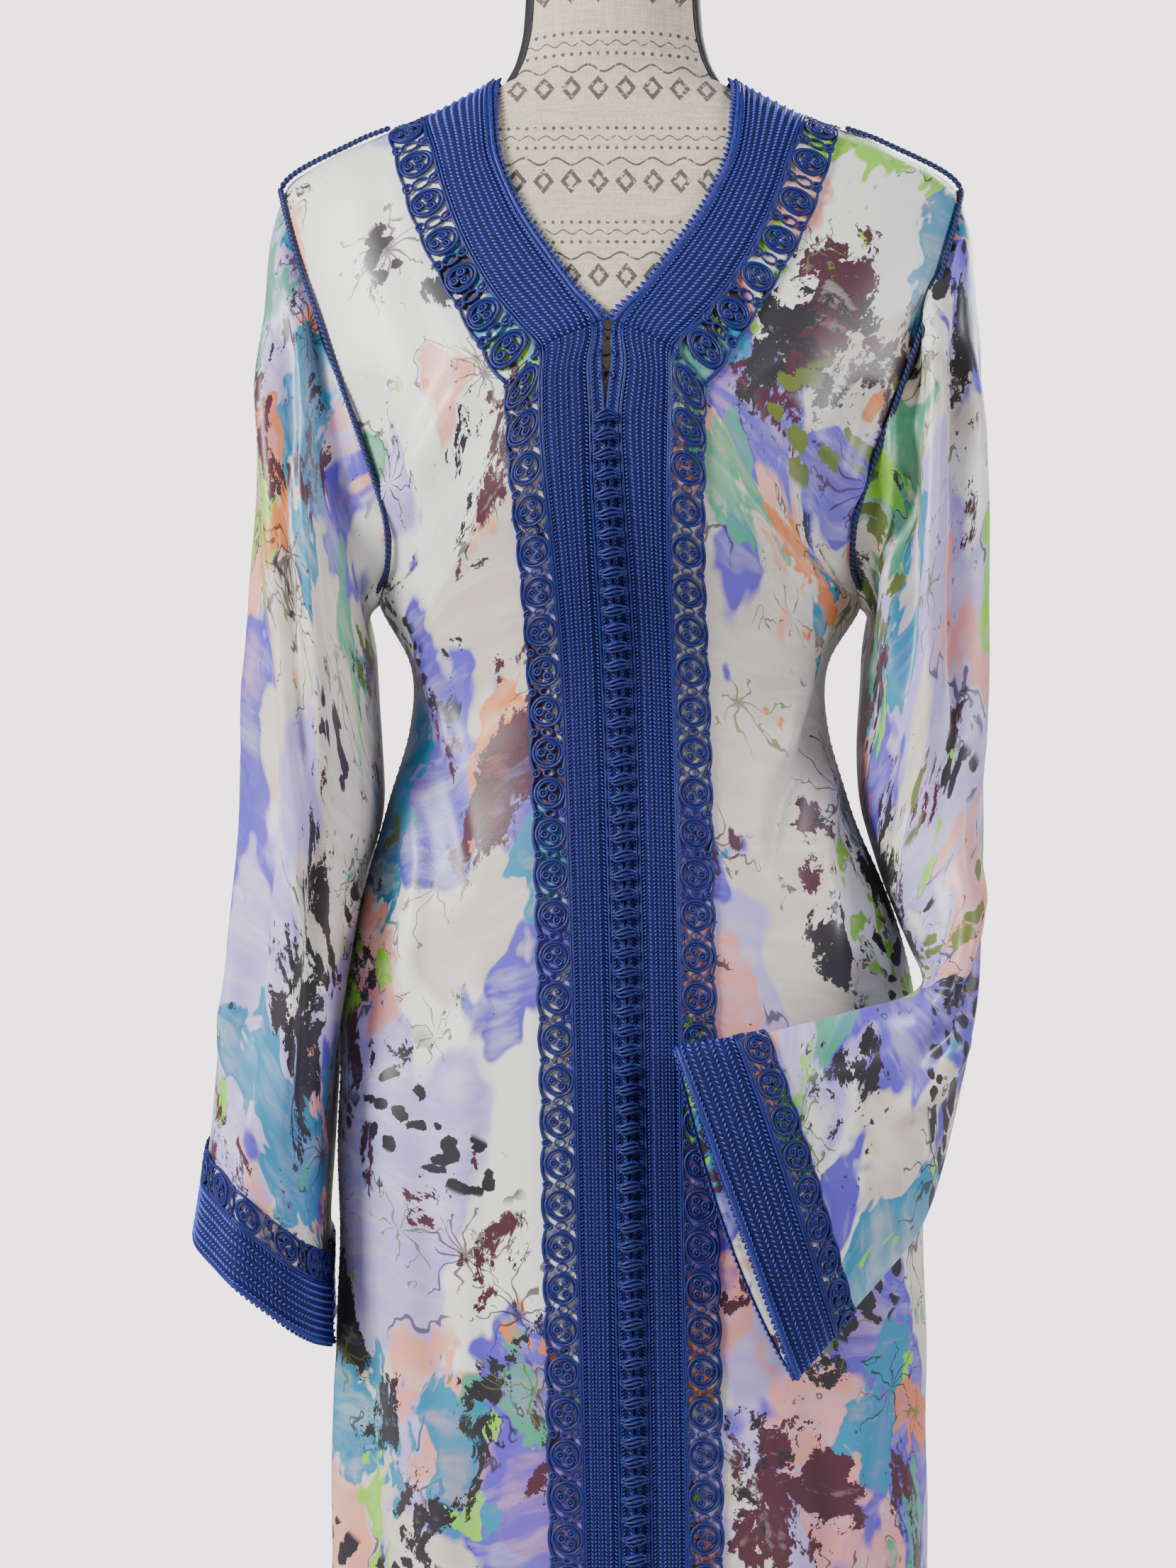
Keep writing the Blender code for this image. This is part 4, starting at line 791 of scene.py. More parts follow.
def back_patches():
    """Back panel: the body grid and the neck band above it. Angles run from 90 to 270."""
    tip_z, shoulder_z = ARMHOLE[-1][0], NECK_LINES[-1][4]
    outer = [shoulder_z + (tip_z - shoulder_z) * (k + 1) / BACK_OUTER_STEPS for k in range(BACK_OUTER_STEPS)]
    top_row = [(90.0, z, True) for z in reversed(outer)]
    top_row += neck_line(lambda row: row[4:6])
    top_row += [(270.0, z, True) for z in outer]
    steps = len(top_row) // 2
    lines = []
    for centre_z, side_z in BACK_ROWS:
        line = []
        seam = side_z <= ARMHOLE[0][0] + NEAR
        edges = armhole_angle(side_z, 1, True), armhole_angle(side_z, -1, True) % 360.0
        follow = ramp(side_z, BACK_BLEND_START, tip_z)
        for step in range(-steps, steps + 1):
            part = abs(step) / steps
            edge = edges[0] if step < 0 else edges[1]
            z = centre_z + (side_z - centre_z) * (1.0 - (1.0 - part) ** 2)
            angle = 180.0 + (edge - 180.0) * part
            if abs(step) < steps:
                top_angle, top_z, _ = top_row[step + steps]
                angle += (top_angle - angle) * follow
                angle = max(angle, edge) if step < 0 else min(angle, edge)
                z += (top_z - z) * follow
            line.append((angle, z, seam and abs(step) == steps))
        lines.append(line)
    picks = (
        lambda row: row[0:2],
        lambda row: toward(row[0:2], row[2:4], NECK_EDGE_SHARE),
        lambda row: row[2:4],
        lambda row: row[4:6],
    )
    return body_patch([*lines, top_row], 1), body_patch(list(zip(*map(neck_line, picks))), 1)


def armhole_loop(side):
    """Armhole seam points and directions from the shoulder tip by the front, underarm and back."""
    heights = [row[0] for row in reversed(ARMHOLE)]
    path = [(armhole_angle(z, side, False), z) for z in heights]
    path += [(armhole_angle(z, side, True), z) for z in reversed(heights[:-1])]
    return [body_point(*place) for place in path], [body_normal(*place) for place in path]


def sleeve_angles(side):
    """Ring angles that spread the armhole's points evenly by length."""
    points, _ = armhole_loop(side)
    low = len(ARMHOLE) - 1
    turns = [0.0]
    for start, end, base in ((0, low, 0.0), (low, len(points) - 1, 180.0)):
        lengths = [(points[k + 1] - points[k]).length for k in range(start, end)]
        turns += [base + 180.0 * run / sum(lengths) for run in itertools.accumulate(lengths)]
    return turns


def pushed_clear(point, clear):
    """Move a point out of the body's own cloth by a clearance."""
    z = point.z
    half = table_value(BODY, z, 1)
    centre = table_value(BODY, z, 2)
    depth = table_value(BODY, z, 3 if point.y < 0.0 else 4)
    dx, dy = point.x - centre, point.y
    share = (abs(dx / half) ** SECTION_POWER + abs(dy / depth) ** SECTION_POWER) ** (1.0 / SECTION_POWER)
    reach = math.hypot(dx, dy)
    edge = reach / max(share, NEAR)
    angle = math.degrees(math.atan2(dx / half, -dy / depth))
    need = edge + fold_height(angle, z) + clear
    if reach < need:
        scale = need / max(reach, NEAR)
        return Vector((centre + dx * scale, dy * scale, z))
    return point


def sleeve_ring(row, turns, side, share, clear):
    """One sleeve section; the hanging one is mirrored across the body's own centre."""
    outer_x, outer_z, inner_x, inner_z, mid_y, half_depth, flat = row
    arm_x, arm_z = 0.5 * (outer_x - inner_x), 0.5 * (outer_z - inner_z)
    arm = math.hypot(arm_x, arm_z)
    near = clear if flat > 0.5 or side < 0 else SLEEVE_CLEAR
    ring = []
    for turn in turns:
        c, s = math.cos(math.radians(turn)), math.sin(math.radians(turn))
        fold = ridge_height(SLEEVE_FOLDS, turn) * min(1.0, 2.2 * share) * (1.0 - 0.75 * flat)
        along = signed_power(c, SLEEVE_POWERS[0])
        depth = signed_power(s, SLEEVE_POWERS[1])
        stand = fold * c / arm * (1.0 - flat)
        x = 0.5 * (outer_x + inner_x) + arm_x * (along + stand)
        z = 0.5 * (outer_z + inner_z) + arm_z * (along + stand)
        hang_y = mid_y - (half_depth + fold) * depth
        taut = TAUT_LINE[0] - TAUT_LINE[1] * max(0.0, x - TAUT_LINE[2])
        rest = max(front_depth(x, z), taut) + clear
        flat_y = -(rest + half_depth * (1.0 + depth) + (fold if s > 0.0 else 0.0))
        y = hang_y + (flat_y - hang_y) * flat
        ring.append(pushed_clear(Vector((x if side > 0 else HANGING_SHIFT - x, y, z)), near))
    return ring


def sleeve_patch(rows, side, between):
    """Sleeve tube from the armhole loop to the cuff; the first column is repeated as the last."""
    turns = sleeve_angles(side)
    loop, loop_normals = armhole_loop(side)
    middle = Vector((table_value(BODY, ARM_MIDDLE[1], 2) + side * ARM_MIDDLE[0], 0.0, ARM_MIDDLE[1]))
    count = len(rows)
    sections = []
    for number in range(count - 1):
        for step in range(between[number]):
            part = step / between[number]
            near = [rows[max(0, min(count - 1, number + k))] for k in (-1, 0, 1, 2)]
            sections.append((number + part, tuple(spline(near, part, k) for k in range(7))))
    sections.append((count - 1.0, rows[-1]))
    clear = FOLDED_CLEAR if rows[-1][6] > 0.5 else CUFF_CLEAR
    rings = []
    for place, row in sections:
        share = place / (count - 1)
        near = SLEEVE_CLEAR if side < 0 and share <= CUFF_CLEAR_START else clear
        ring = sleeve_ring(row, turns, side, share, near)
        own = CAP_BLEND[int(place)] if place < len(CAP_BLEND) else 1.0
        for point, seam in zip(ring, loop):
            point[:] = seam + (point - seam) * own
        rings.append(ring)
    first = []
    for point, way in zip(loop, loop_normals):
        inward = middle - point
        inward -= way * inward.dot(way)
        first.append(point + inward.normalized() * SLEEVE_SEAM_GAP)
    rings = cuff_rings([first, *rings])
    for ring in rings:
        ring[-1] = ring[0].copy()
    normals = ring_normals(rings, side)
    for column, way in enumerate(loop_normals):
        own = normals[0][column]
        match = ramp(own.dot(way), *NORMAL_MATCH)
        normals[0][column] = (way * match + own * (1.0 - match)).normalized()
    return Patch(rings, normals)


def cuff_rings(rings):
    """The rings with their last ones set at the trims' own distances from the cuff's edge."""
    made = []
    lowest = len(rings)
    for width in (CUFF_BRAID_WIDTH + CUFF_LACE_WIDTH, CUFF_BRAID_WIDTH + 2.0 * SEAM_GAP):
        ring = []
        for column in range(len(rings[0])):
            run = 0.0
            row = len(rings) - 1
            while row > 0:
                here, before = rings[row][column], rings[row - 1][column]
                step = (here - before).length
                if run + step >= width:
                    ring.append(here + (before - here) * ((width - run) / step))
                    break
                run += step
                row -= 1
            lowest = min(lowest, row - 1)
        made.append(ring)
    return rings[:lowest + 1] + made + [rings[-1]]


def spline(near, part, column):
    """Smooth value between the two middle rows of four."""
    a, b, c, d = (row[column] for row in near)
    values = (b, 0.5 * (c - a), c, 0.5 * (d - b))
    return sum(weight * value for weight, value in zip(hermite(part), values))


def ring_normals(rings, side):
    """Outward directions of a tube of rings whose last point repeats the first."""
    rows = len(rings)
    size = len(rings[0]) - 1
    normals = []
    for r, ring in enumerate(rings):
        low, high = rings[max(0, r - 1)], rings[min(rows - 1, r + 1)]
        line = []
        for c in range(size):
            around = ring[(c + 1) % size] - ring[(c - 1) % size]
            line.append(around.cross(high[c] - low[c]).normalized() * side)
        normals.append([*line, line[0].copy()])
    middle = rows // 2
    centre = sum((rings[middle][c] for c in range(size)), Vector()) / size
    outward = sum(normals[middle][c].dot(rings[middle][c] - centre) for c in range(size))
    return normals if outward >= 0.0 else [[-way for way in line] for line in normals]


class Route:
    """A strip on the cloth, addressed in metres along its middle and metres across.

    Its column and row on the cloth's grid start at a place and change evenly along and across the strip.
    """

    def __init__(self, surface, place, along, across, width, lift):
        self.surface = surface
        self.place = place
        self.along = along
        self.across = across
        self.width = width
        self.lift = lift
        self.share = np.linspace(0.0, 1.0, ROUTE_STEPS)
        self.run = run_lengths(surface.at(*self.spot(self.share, np.full(ROUTE_STEPS, 0.5))))
        self.length = float(self.run[-1])

    def spot(self, t, w):
        """Column and row at shares along and across."""
        return tuple(self.place[k] + self.along[k] * t + self.across[k] * w for k in (0, 1))

    def lay(self, along, across, height):
        """Points on the cloth for flat places and heights above it."""
        share = np.interp(along, self.run, self.share)
        over = np.where(along < 0.0, along, np.where(along > self.length, along - self.length, 0.0))
        u, v = self.spot(share + over / self.length, across / self.width)
        return self.surface.at(u, v) + self.surface.normal(u, v) * (height + self.lift)[..., None]

    def repeat(self, template, places):
        """Copies of a flat template of (points, faces) at (along, across) places."""
        points, faces = template
        flat = np.asarray(points)[None] + np.pad(np.asarray(places), ((0, 0), (0, 1)))[:, None]
        laid = self.lay(*flat.reshape(-1, 3).T)
        count = len(points)
        return laid, [tuple(i + k * count for i in face) for k in range(len(places)) for face in faces]

    def row(self, count, across=0.0, start=0.5):
        """Evenly spaced places along the route."""
        return [((k + start) * self.length / count, across) for k in range(count)]


class Mass:
    """Gathers points and faces for one piece."""

    def __init__(self):
        self.points = []
        self.faces = []
        self.count = 0

    def add(self, points, faces):
        """Add a block of points with faces that count from its own first point."""
        base = self.count
        self.points.append(np.asarray(points))
        self.faces.extend(tuple(i + base for i in face) for face in faces)
        self.count += len(points)

    def shape(self):
        """A bmesh of all the blocks, faces turned outward."""
        mesh = bpy.data.meshes.new("gathered")
        mesh.from_pydata(np.concatenate(self.points).tolist(), [], self.faces)
        shape = bmesh.new()
        shape.from_mesh(mesh)
        bpy.data.meshes.remove(mesh)
        bmesh.ops.recalc_face_normals(shape, faces=shape.faces)
        return shape

    def finish(self, name, material, slot, nodes=()):
        """Make the piece."""
        return finish_piece(name, self.shape(), material, nodes)


def path_frame(path, ways, closed):
    """Directions across a path and up from it."""
    ahead = np.roll(path, -1, axis=0) - np.roll(path, 1, axis=0) if closed else np.gradient(path, axis=0)
    ahead /= np.linalg.norm(ahead, axis=1, keepdims=True)
    across = np.cross(ahead, ways)
    across /= np.maximum(np.linalg.norm(across, axis=1, keepdims=True), 1e-9)
    return across, np.cross(across, ahead)


def sweep(path, radius, sides, closed, ways=(0.0, 0.0, 1.0)):
    """Tube along a path of points, as (points, faces)."""
    path = np.asarray(path, float)
    count = len(path)
    across, up = path_frame(path, np.broadcast_to(ways, path.shape), closed)
    turns = 2.0 * np.pi * (np.arange(sides) + 0.5) / sides
    ring = np.cos(turns)[None, :, None] * across[:, None] + np.sin(turns)[None, :, None] * up[:, None]
    points = (path[:, None] + radius * ring).reshape(-1, 3)
    faces = []
    for k in range(count if closed else count - 1):
        low, high = k * sides, ((k + 1) % count) * sides
        for c in range(sides):
            d = (c + 1) % sides
            faces.append((low + c, low + d, high + d, high + c))
    if not closed:
        faces += [tuple(range(sides)), tuple(range((count - 1) * sides, count * sides))]
    return points, faces


def leaf(half_length, half_width, slant, top):
    """One slanted stitch: a closed eight-sided leaf."""
    c, s = math.cos(slant), math.sin(slant)
    points = [
        (half_length * c, half_length * s, 0.0),
        (-half_length * c, -half_length * s, 0.0),
        (-half_width * s, half_width * c, 0.0),
        (half_width * s, -half_width * c, 0.0),
        (0.0, 0.0, top),
        (0.0, 0.0, -LEAF_DEPTH),
    ]
    faces = [(0, 2, 4), (2, 1, 4), (1, 3, 4), (3, 0, 4), (2, 0, 5), (1, 2, 5), (3, 1, 5), (0, 3, 5)]
    return points, faces


def bead(radius, height, at=(0.0, 0.0, 0.0)):
    """Small round knot made from an icosphere."""
    shape = bmesh.new()
    bmesh.ops.create_icosphere(shape, subdivisions=1, radius=radius)
    points = [(v.co.x + at[0], v.co.y + at[1], v.co.z * height / radius + at[2]) for v in shape.verts]
    faces = [tuple(v.index for v in face.verts) for face in shape.faces]
    shape.free()
    return points, faces


def join_templates(parts):
    """One template from several."""
    points, faces = [], []
    for more, sides in parts:
        base = len(points)
        points.extend(tuple(p) for p in more)
        faces.extend(tuple(i + base for i in face) for face in sides)
    return points, faces


def finish_piece(name, shape, material, nodes=(), smooth=True):
    """Turn a bmesh into a named piece that rides on the row's only body."""
    mesh = bpy.data.meshes.new(name)
    shape.to_mesh(mesh)
    shape.free()
    if smooth:
        mesh.polygons.foreach_set("use_smooth", [True] * len(mesh.polygons))
    mesh.materials.append(material)
    piece = bpy.data.objects.new(name, mesh)
    bpy.context.scene.collection.objects.link(piece)
    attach(piece, "root")
    if nodes:
        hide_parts(*nodes)
    return piece


def sheet_piece(name, node, surface, columns, rows, wall, offset, material):
    """Thin cloth shell on a surface, with a UV map in metres."""
    closed = surface.closed
    first = (surface.columns - 1) / 2.0 if closed else 0.0
    us = first + np.linspace(0.0, 1.0, columns) * (surface.columns - 1.0)
    u, v = np.meshgrid(us, np.linspace(0.0, 1.0, rows) * (surface.rows - 1.0))
    points = surface.at(u, v)
    across = np.linalg.norm(np.diff(points, axis=1), axis=2)
    across = np.concatenate([np.zeros((rows, 1)), np.cumsum(across, axis=1)], axis=1)
    across -= across[:, columns // 2][:, None]
    along = np.linalg.norm(np.diff(points, axis=0), axis=2).mean(axis=1)
    along = np.concatenate([[0.0], np.cumsum(along)])
    wide = columns - 1 if closed else columns
    shape = bmesh.new()
    layer = shape.loops.layers.uv.new("cloth")
    walls = []
    for grid in (points, points - surface.normal(u, v) * wall):
        walls.append([[shape.verts.new(grid[r, c]) for c in range(wide)] for r in range(rows)])
    outer, inner = walls
    flip = surface.sign < 0.0

    def wall_face(corners, reverse):
        """Face from (verts, row, column) corners with its UVs."""
        if reverse:
            corners = corners[::-1]
        face = shape.faces.new([verts[a][b % wide] for verts, a, b in corners])
        for loop, (verts, a, b) in zip(face.loops, corners):
            loop[layer].uv = (across[a, b] + offset[0], along[a] + offset[1])

    for r in range(rows - 1):
        for c in range(columns - 1):
            cell = [(r, c), (r, c + 1), (r + 1, c + 1), (r + 1, c)]
            wall_face([(outer, a, b) for a, b in cell], flip)
            wall_face([(inner, a, b) for a, b in cell], not flip)
    rims = [((r, c + 1), (r, c), flip == (r == 0)) for r in (0, rows - 1) for c in range(columns - 1)]
    if not closed:
        rims += [((r + 1, c), (r, c), flip != (c == 0)) for c in (0, columns - 1) for r in range(rows - 1)]
    for start, end, turn in rims:
        wall_face([(outer, *start), (outer, *end), (inner, *end), (inner, *start)], turn)
    return finish_piece(f"satin_{name}", shape, material, (node,))


class Shades:
    """Adds shader nodes to one new material."""

    def __init__(self, name, roughness):
        self.material = bpy.data.materials.new(name)
        self.material.use_nodes = True
        self.tree = self.material.node_tree
        self.shader = self.tree.nodes["Principled BSDF"]
        self.set("Roughness", roughness)

    def fill(self, target, value):
        """Give an input a value, a colour or a link."""
        if isinstance(value, bpy.types.NodeSocket):
            self.tree.links.new(value, target)
        elif target.type == "RGBA":
            target.default_value = (*value[:3], 1.0)
        else:
            target.default_value = value

    def set(self, socket, value):
        """Give a shader input a value or a link."""
        self.fill(self.shader.inputs[socket], value)

    def node(self, kind, inputs, **settings):
        """New node with its settings and its inputs by name or number."""
        made = self.tree.nodes.new(kind)
        for key, value in settings.items():
            setattr(made, key, value)
        for key, value in inputs.items():
            self.fill(made.inputs[key], value)
        return made

    def place(self):
        """Coordinates in the piece's own space, which is the row's frame."""
        return self.node("ShaderNodeTexCoord", {}).outputs["Object"]

    def cloth_place(self):
        """Coordinates along the cloth, in metres."""
        return self.node("ShaderNodeUVMap", {}, uv_map="cloth").outputs["UV"]

    def moved(self, place, shift=(0.0, 0.0), turn=0.0, scale=(1.0, 1.0, 1.0)):
        """Shifted, turned and stretched coordinates."""
        inputs = {"Vector": place, "Location": (*shift, 0.0), "Rotation": (0.0, 0.0, turn), "Scale": scale}
        return self.node("ShaderNodeMapping", inputs).outputs["Vector"]

    def noise(self, place, scale, detail=2.0, rough=0.5, twist=0.0, output="Fac"):
        """Noise value or colour."""
        inputs = {"Vector": place, "Scale": scale, "Detail": detail, "Roughness": rough, "Distortion": twist}
        return self.node("ShaderNodeTexNoise", inputs).outputs[output]

    def cells(self, place, scale, loose):
        """Scattered cells of the plane."""
        inputs = {"Vector": place, "Scale": scale, "Randomness": loose}
        return self.node("ShaderNodeTexVoronoi", inputs, voronoi_dimensions="2D").outputs

    def vector(self, operation, first, second=(0.0, 0.0, 0.0)):
        """Vector math node's outputs."""
        return self.node("ShaderNodeVectorMath", {0: first, 1: second}, operation=operation).outputs

    def math(self, operation, first, second=0.0, third=0.0):
        """Math node's value."""
        return self.node("ShaderNodeMath", {0: first, 1: second, 2: third}, operation=operation).outputs[0]

    def times(self, first, *more):
        """Product of values."""
        for value in more:
            first = self.math("MULTIPLY", first, value)
        return first

    def minus(self, first, second):
        """Difference of two values."""
        return self.math("SUBTRACT", first, second)

    def rise(self, value, low, high, start=0.0, end=1.0):
        """Smooth step of a value between two limits."""
        inputs = {"Value": value, "From Min": low, "From Max": high, "To Min": start, "To Max": end}
        return self.node("ShaderNodeMapRange", inputs, interpolation_type="SMOOTHSTEP").outputs["Result"]

    def blend(self, share, first, second):
        """Mix of two colours."""
        return self.node("ShaderNodeMix", {0: share, 6: first, 7: second}, data_type="RGBA").outputs[2]

    def bump(self, height, distance, strength=1.0):
        """Bumped normal on the shader."""
        inputs = {"Height": height, "Distance": distance, "Strength": strength}
        self.set("Normal", self.node("ShaderNodeBump", inputs).outputs["Normal"])


# Splashes: colour, shift, scale, detail, roughness, level, softness, strength, turn
SPLASHES = (
    ("stone", (3.1, 1.7), 4.4, 3.0, 0.50, 0.475, 0.030, 0.90, 0.3),
    ("lilac", (7.3, 4.1), 5.2, 3.5, 0.52, 0.515, 0.025, 0.95, -0.5),
    ("coral", (4.4, 8.3), 6.6, 4.5, 0.58, 0.565, 0.022, 0.80, 0.1),
    ("periwinkle", (1.9, 9.2), 5.6, 4.5, 0.56, 0.532, 0.020, 1.00, 0.8),
    ("teal", (5.7, 2.9), 7.6, 5.0, 0.60, 0.580, 0.012, 1.00, -0.9),
    ("sea", (9.9, 6.6), 7.0, 5.0, 0.60, 0.590, 0.020, 0.90, 0.5),
    ("lime", (2.6, 5.5), 8.6, 5.0, 0.60, 0.600, 0.012, 1.00, -0.2),
    ("orange", (6.1, 7.7), 7.6, 5.0, 0.60, 0.625, 0.012, 0.90, 0.9),
    ("maroon", (8.8, 1.1), 8.4, 8.0, 0.72, 0.588, 0.006, 1.30, 0.0),
    ("ink", (0.6, 6.3), 9.0, 8.0, 0.74, 0.580, 0.005, 1.40, 0.0),
)
OUTLINED = {"sea", "lime", "coral", "maroon"}

# Sprigs: shift, scale, rays, radius, line width, colour, how rare
SPRIGS = (
    ((0.31, 0.77), 7.0, 9.0, 0.034, 0.0010, "ink", 0.50),
    ((2.13, 1.41), 9.0, 7.0, 0.026, 0.0009, "olive", 0.46),
    ((4.70, 3.30), 8.0, 11.0, 0.030, 0.0008, "maroon", 0.58),
)

# Dabs: shift, turn, scale, size, scale of the patches they keep to, colour, strength
DABS = (
    ((0.0, 0.0), 0.75, (30.0, 44.0, 1.0), 0.30, 6.1, "olive", 0.97),
    ((1.8, 4.9), 1.9, (60.0, 70.0, 1.0), 0.33, 6.6, "ink", 1.0),
)


def add_splashes(shades, cloth, bent, colours):
    """Colour of the satin with its splashes, some with an ink outline."""
    brush = shades.noise(shades.moved(bent, turn=0.5, scale=(16.0, 70.0, 1.0)), 1.0, 3.0, 0.6)
    patch = shades.noise(shades.moved(cloth, (5.0, 5.0)), 16.0, 2.0)
    colour = colours["satin"]
    for name, shift, scale, detail, rough, level, soft, strength, turn in SPLASHES:
        field = shades.noise(shades.moved(bent, shift, turn, (1.0, 0.62, 1.0)), scale, detail, rough)
        body = shades.rise(field, level, level + soft)
        tide = shades.rise(field, level + 0.055, level + 0.002, 0.0, 0.28)
        wash = shades.math("ADD", shades.rise(brush, 0.30, 0.62, 0.58, 0.96), tide)
        share = shades.node("ShaderNodeClamp", {"Value": shades.times(body, wash, strength)}).outputs[0]
        colour = shades.blend(share, colour, colours[name])
        if name in OUTLINED:
            edge = shades.rise(shades.math("ABSOLUTE", shades.minus(field, level - 0.002)), 0.0050, 0.0020)
            share = shades.times(edge, shades.rise(patch, 0.52, 0.57), 0.80)
            colour = shades.blend(share, colour, colours["ink"])
    return colour


def add_sprigs(shades, bent, colour, colours):
    """Colour with thin starry sprigs drawn over it."""
    for shift, scale, count, radius, width, name, rare in SPRIGS:
        spot = shades.moved(bent, shift)
        wiggle = shades.noise(spot, 55.0, 2.0, 0.5)
        cells = shades.cells(spot, scale, 0.9)
        away = shades.vector("SUBTRACT", spot, cells["Position"])[0]
        x, y, _ = shades.node("ShaderNodeSeparateXYZ", {0: away}).outputs
        chance = shades.node("ShaderNodeSeparateColor", {0: cells["Color"]}).outputs[1]
        angle = shades.math("ARCTAN2", y, x)
        turns = shades.math("MULTIPLY_ADD", angle, count / (2.0 * math.pi), shades.times(wiggle, 2.2))
        ray = shades.math("ABSOLUTE", shades.minus(shades.math("FRACT", turns), 0.5))
        reach = shades.vector("LENGTH", away)["Value"]
        stem = shades.rise(shades.times(ray, reach, 2.0 * math.pi / count), width, width * 0.45)
        limit = shades.math("MULTIPLY_ADD", shades.rise(wiggle, 0.35, 0.65), radius * 0.8, radius * 0.55)
        stem = shades.times(stem, shades.math("LESS_THAN", reach, limit))
        heart = shades.times(shades.rise(reach, radius * 0.22, radius * 0.10), 0.7)
        keep = shades.math("GREATER_THAN", chance, rare)
        share = shades.times(shades.math("MAXIMUM", stem, heart), keep, 0.85)
        colour = shades.blend(share, colour, colours[name])
    return colour


def add_dabs(shades, cloth, bent, colour, colours):
    """Colour with clusters of short brush dabs over it."""
    grain = shades.noise(cloth, 60.0, 4.0, 0.6)
    ragged = shades.times(shades.minus(grain, 0.5), 1.1)
    for shift, turn, scale, size, patchy, name, strength in DABS:
        cells = shades.cells(shades.moved(bent, shift, turn, scale), 1.0, 1.0)
        body = shades.rise(shades.math("ADD", cells["Distance"], ragged), size, size - 0.04)
        keep = shades.rise(shades.noise(shades.moved(cloth, shift[::-1]), patchy, 1.0), 0.63, 0.65)
        colour = shades.blend(shades.times(body, keep, strength), colour, colours[name])
    return colour


def satin_material(colours):
    """Off-white satin with a loose printed wash of splashes, brush marks and starry sprigs."""
    shades = Shades("satin", 0.34)
    cloth = shades.cloth_place()
    warp = shades.vector("SUBTRACT", shades.noise(cloth, 7.0, 3.0, 0.55, output="Color"), (0.5, 0.5, 0.5))[0]
    bent = shades.vector("ADD", cloth, shades.vector("MULTIPLY", warp, (0.09, 0.09, 0.09))[0])[0]
    colour = add_splashes(shades, cloth, bent, colours)
    colour = add_sprigs(shades, bent, colour, colours)
    shades.set("Base Color", add_dabs(shades, cloth, bent, colour, colours))
    threads = shades.noise(shades.moved(cloth, scale=(2600.0, 700.0, 1.0)), 1.0, 1.0)
    shades.bump(threads, 0.00012, 0.35)
    shades.set("Roughness", shades.rise(threads, 0.2, 0.8, 0.32, 0.46))
    for socket, value in (
        ("Sheen Weight", 0.15),
        ("Sheen Roughness", 0.4),
        ("Specular IOR Level", 0.55),
        ("Anisotropic", 0.35),
    ):
        shades.set(socket, value)
    return shades.material


def cord_material(name, dark, bright, scale, roughness=0.42):
    """Twisted silky thread with darker hollows between its strands."""
    shades = Shades(name, roughness)
    place = shades.place()
    strands = shades.noise(place, scale, 2.0, 0.6)
    patch = shades.noise(place, scale * 0.035, 2.0)
    # Painted shade: the dark colour fills the hollows between strands, the bright one the strand tops
    colour = shades.blend(shades.rise(strands, 0.34, 0.66), dark, bright)
    deep = tuple(0.72 * value for value in bright)
    shades.set("Base Color", shades.blend(shades.rise(patch, 0.35, 0.65, 0.0, 0.35), colour, deep))
    shades.set("Roughness", shades.rise(strands, 0.3, 0.7, roughness + 0.14, roughness - 0.06))
    shades.set("Specular IOR Level", 0.32)
    shades.set("Sheen Weight", 0.08)
    shades.set("Sheen Tint", bright)
    shades.bump(strands, 0.0003, 0.6)
    return shades.material


# Stamped rows: height of a row, distance to the next, step along it, height of a mark, kind of mark
LINEN_ROWS = (
    (1.030, 0.062, 0.017, 0.0170, "lozenge"),
    (1.052, 0.062, 0.0056, 0.0040, "dot"),
    (1.0585, 0.062, 0.0110, 0.0048, "wave"),
    (1.0650, 0.062, 0.0056, 0.0040, "dot"),
    (1.043, 0.062, 0.0200, 0.0075, "wave"),
)


def stamped_mark(shades, x, z, row):
    """Share of ink that one stamped row lays at a place."""
    base, pitch, step, tall, kind = row
    cell = shades.minus(shades.math("FRACT", shades.math("DIVIDE", x, step)), 0.5)
    band = shades.minus(shades.math("FRACT", shades.math("DIVIDE", shades.minus(z, base), pitch)), 0.5)
    high = shades.times(band, pitch / tall)
    if kind == "wave":
        swing = shades.times(shades.math("SINE", shades.times(x, 2.0 * math.pi / step)), 0.3)
        return shades.rise(shades.math("ABSOLUTE", shades.minus(high, swing)), 0.13, 0.08)
    over, rise = shades.math("ABSOLUTE", shades.times(cell, step / tall)), shades.math("ABSOLUTE", high)
    if kind == "lozenge":
        reach = shades.math("ADD", shades.times(over, 1.25), rise)
        return shades.times(shades.rise(reach, 0.52, 0.48), shades.rise(reach, 0.22, 0.27))
    reach = shades.math("SQRT", shades.math("ADD", shades.times(over, over), shades.times(rise, rise)))
    return shades.rise(reach, 0.34, 0.28)


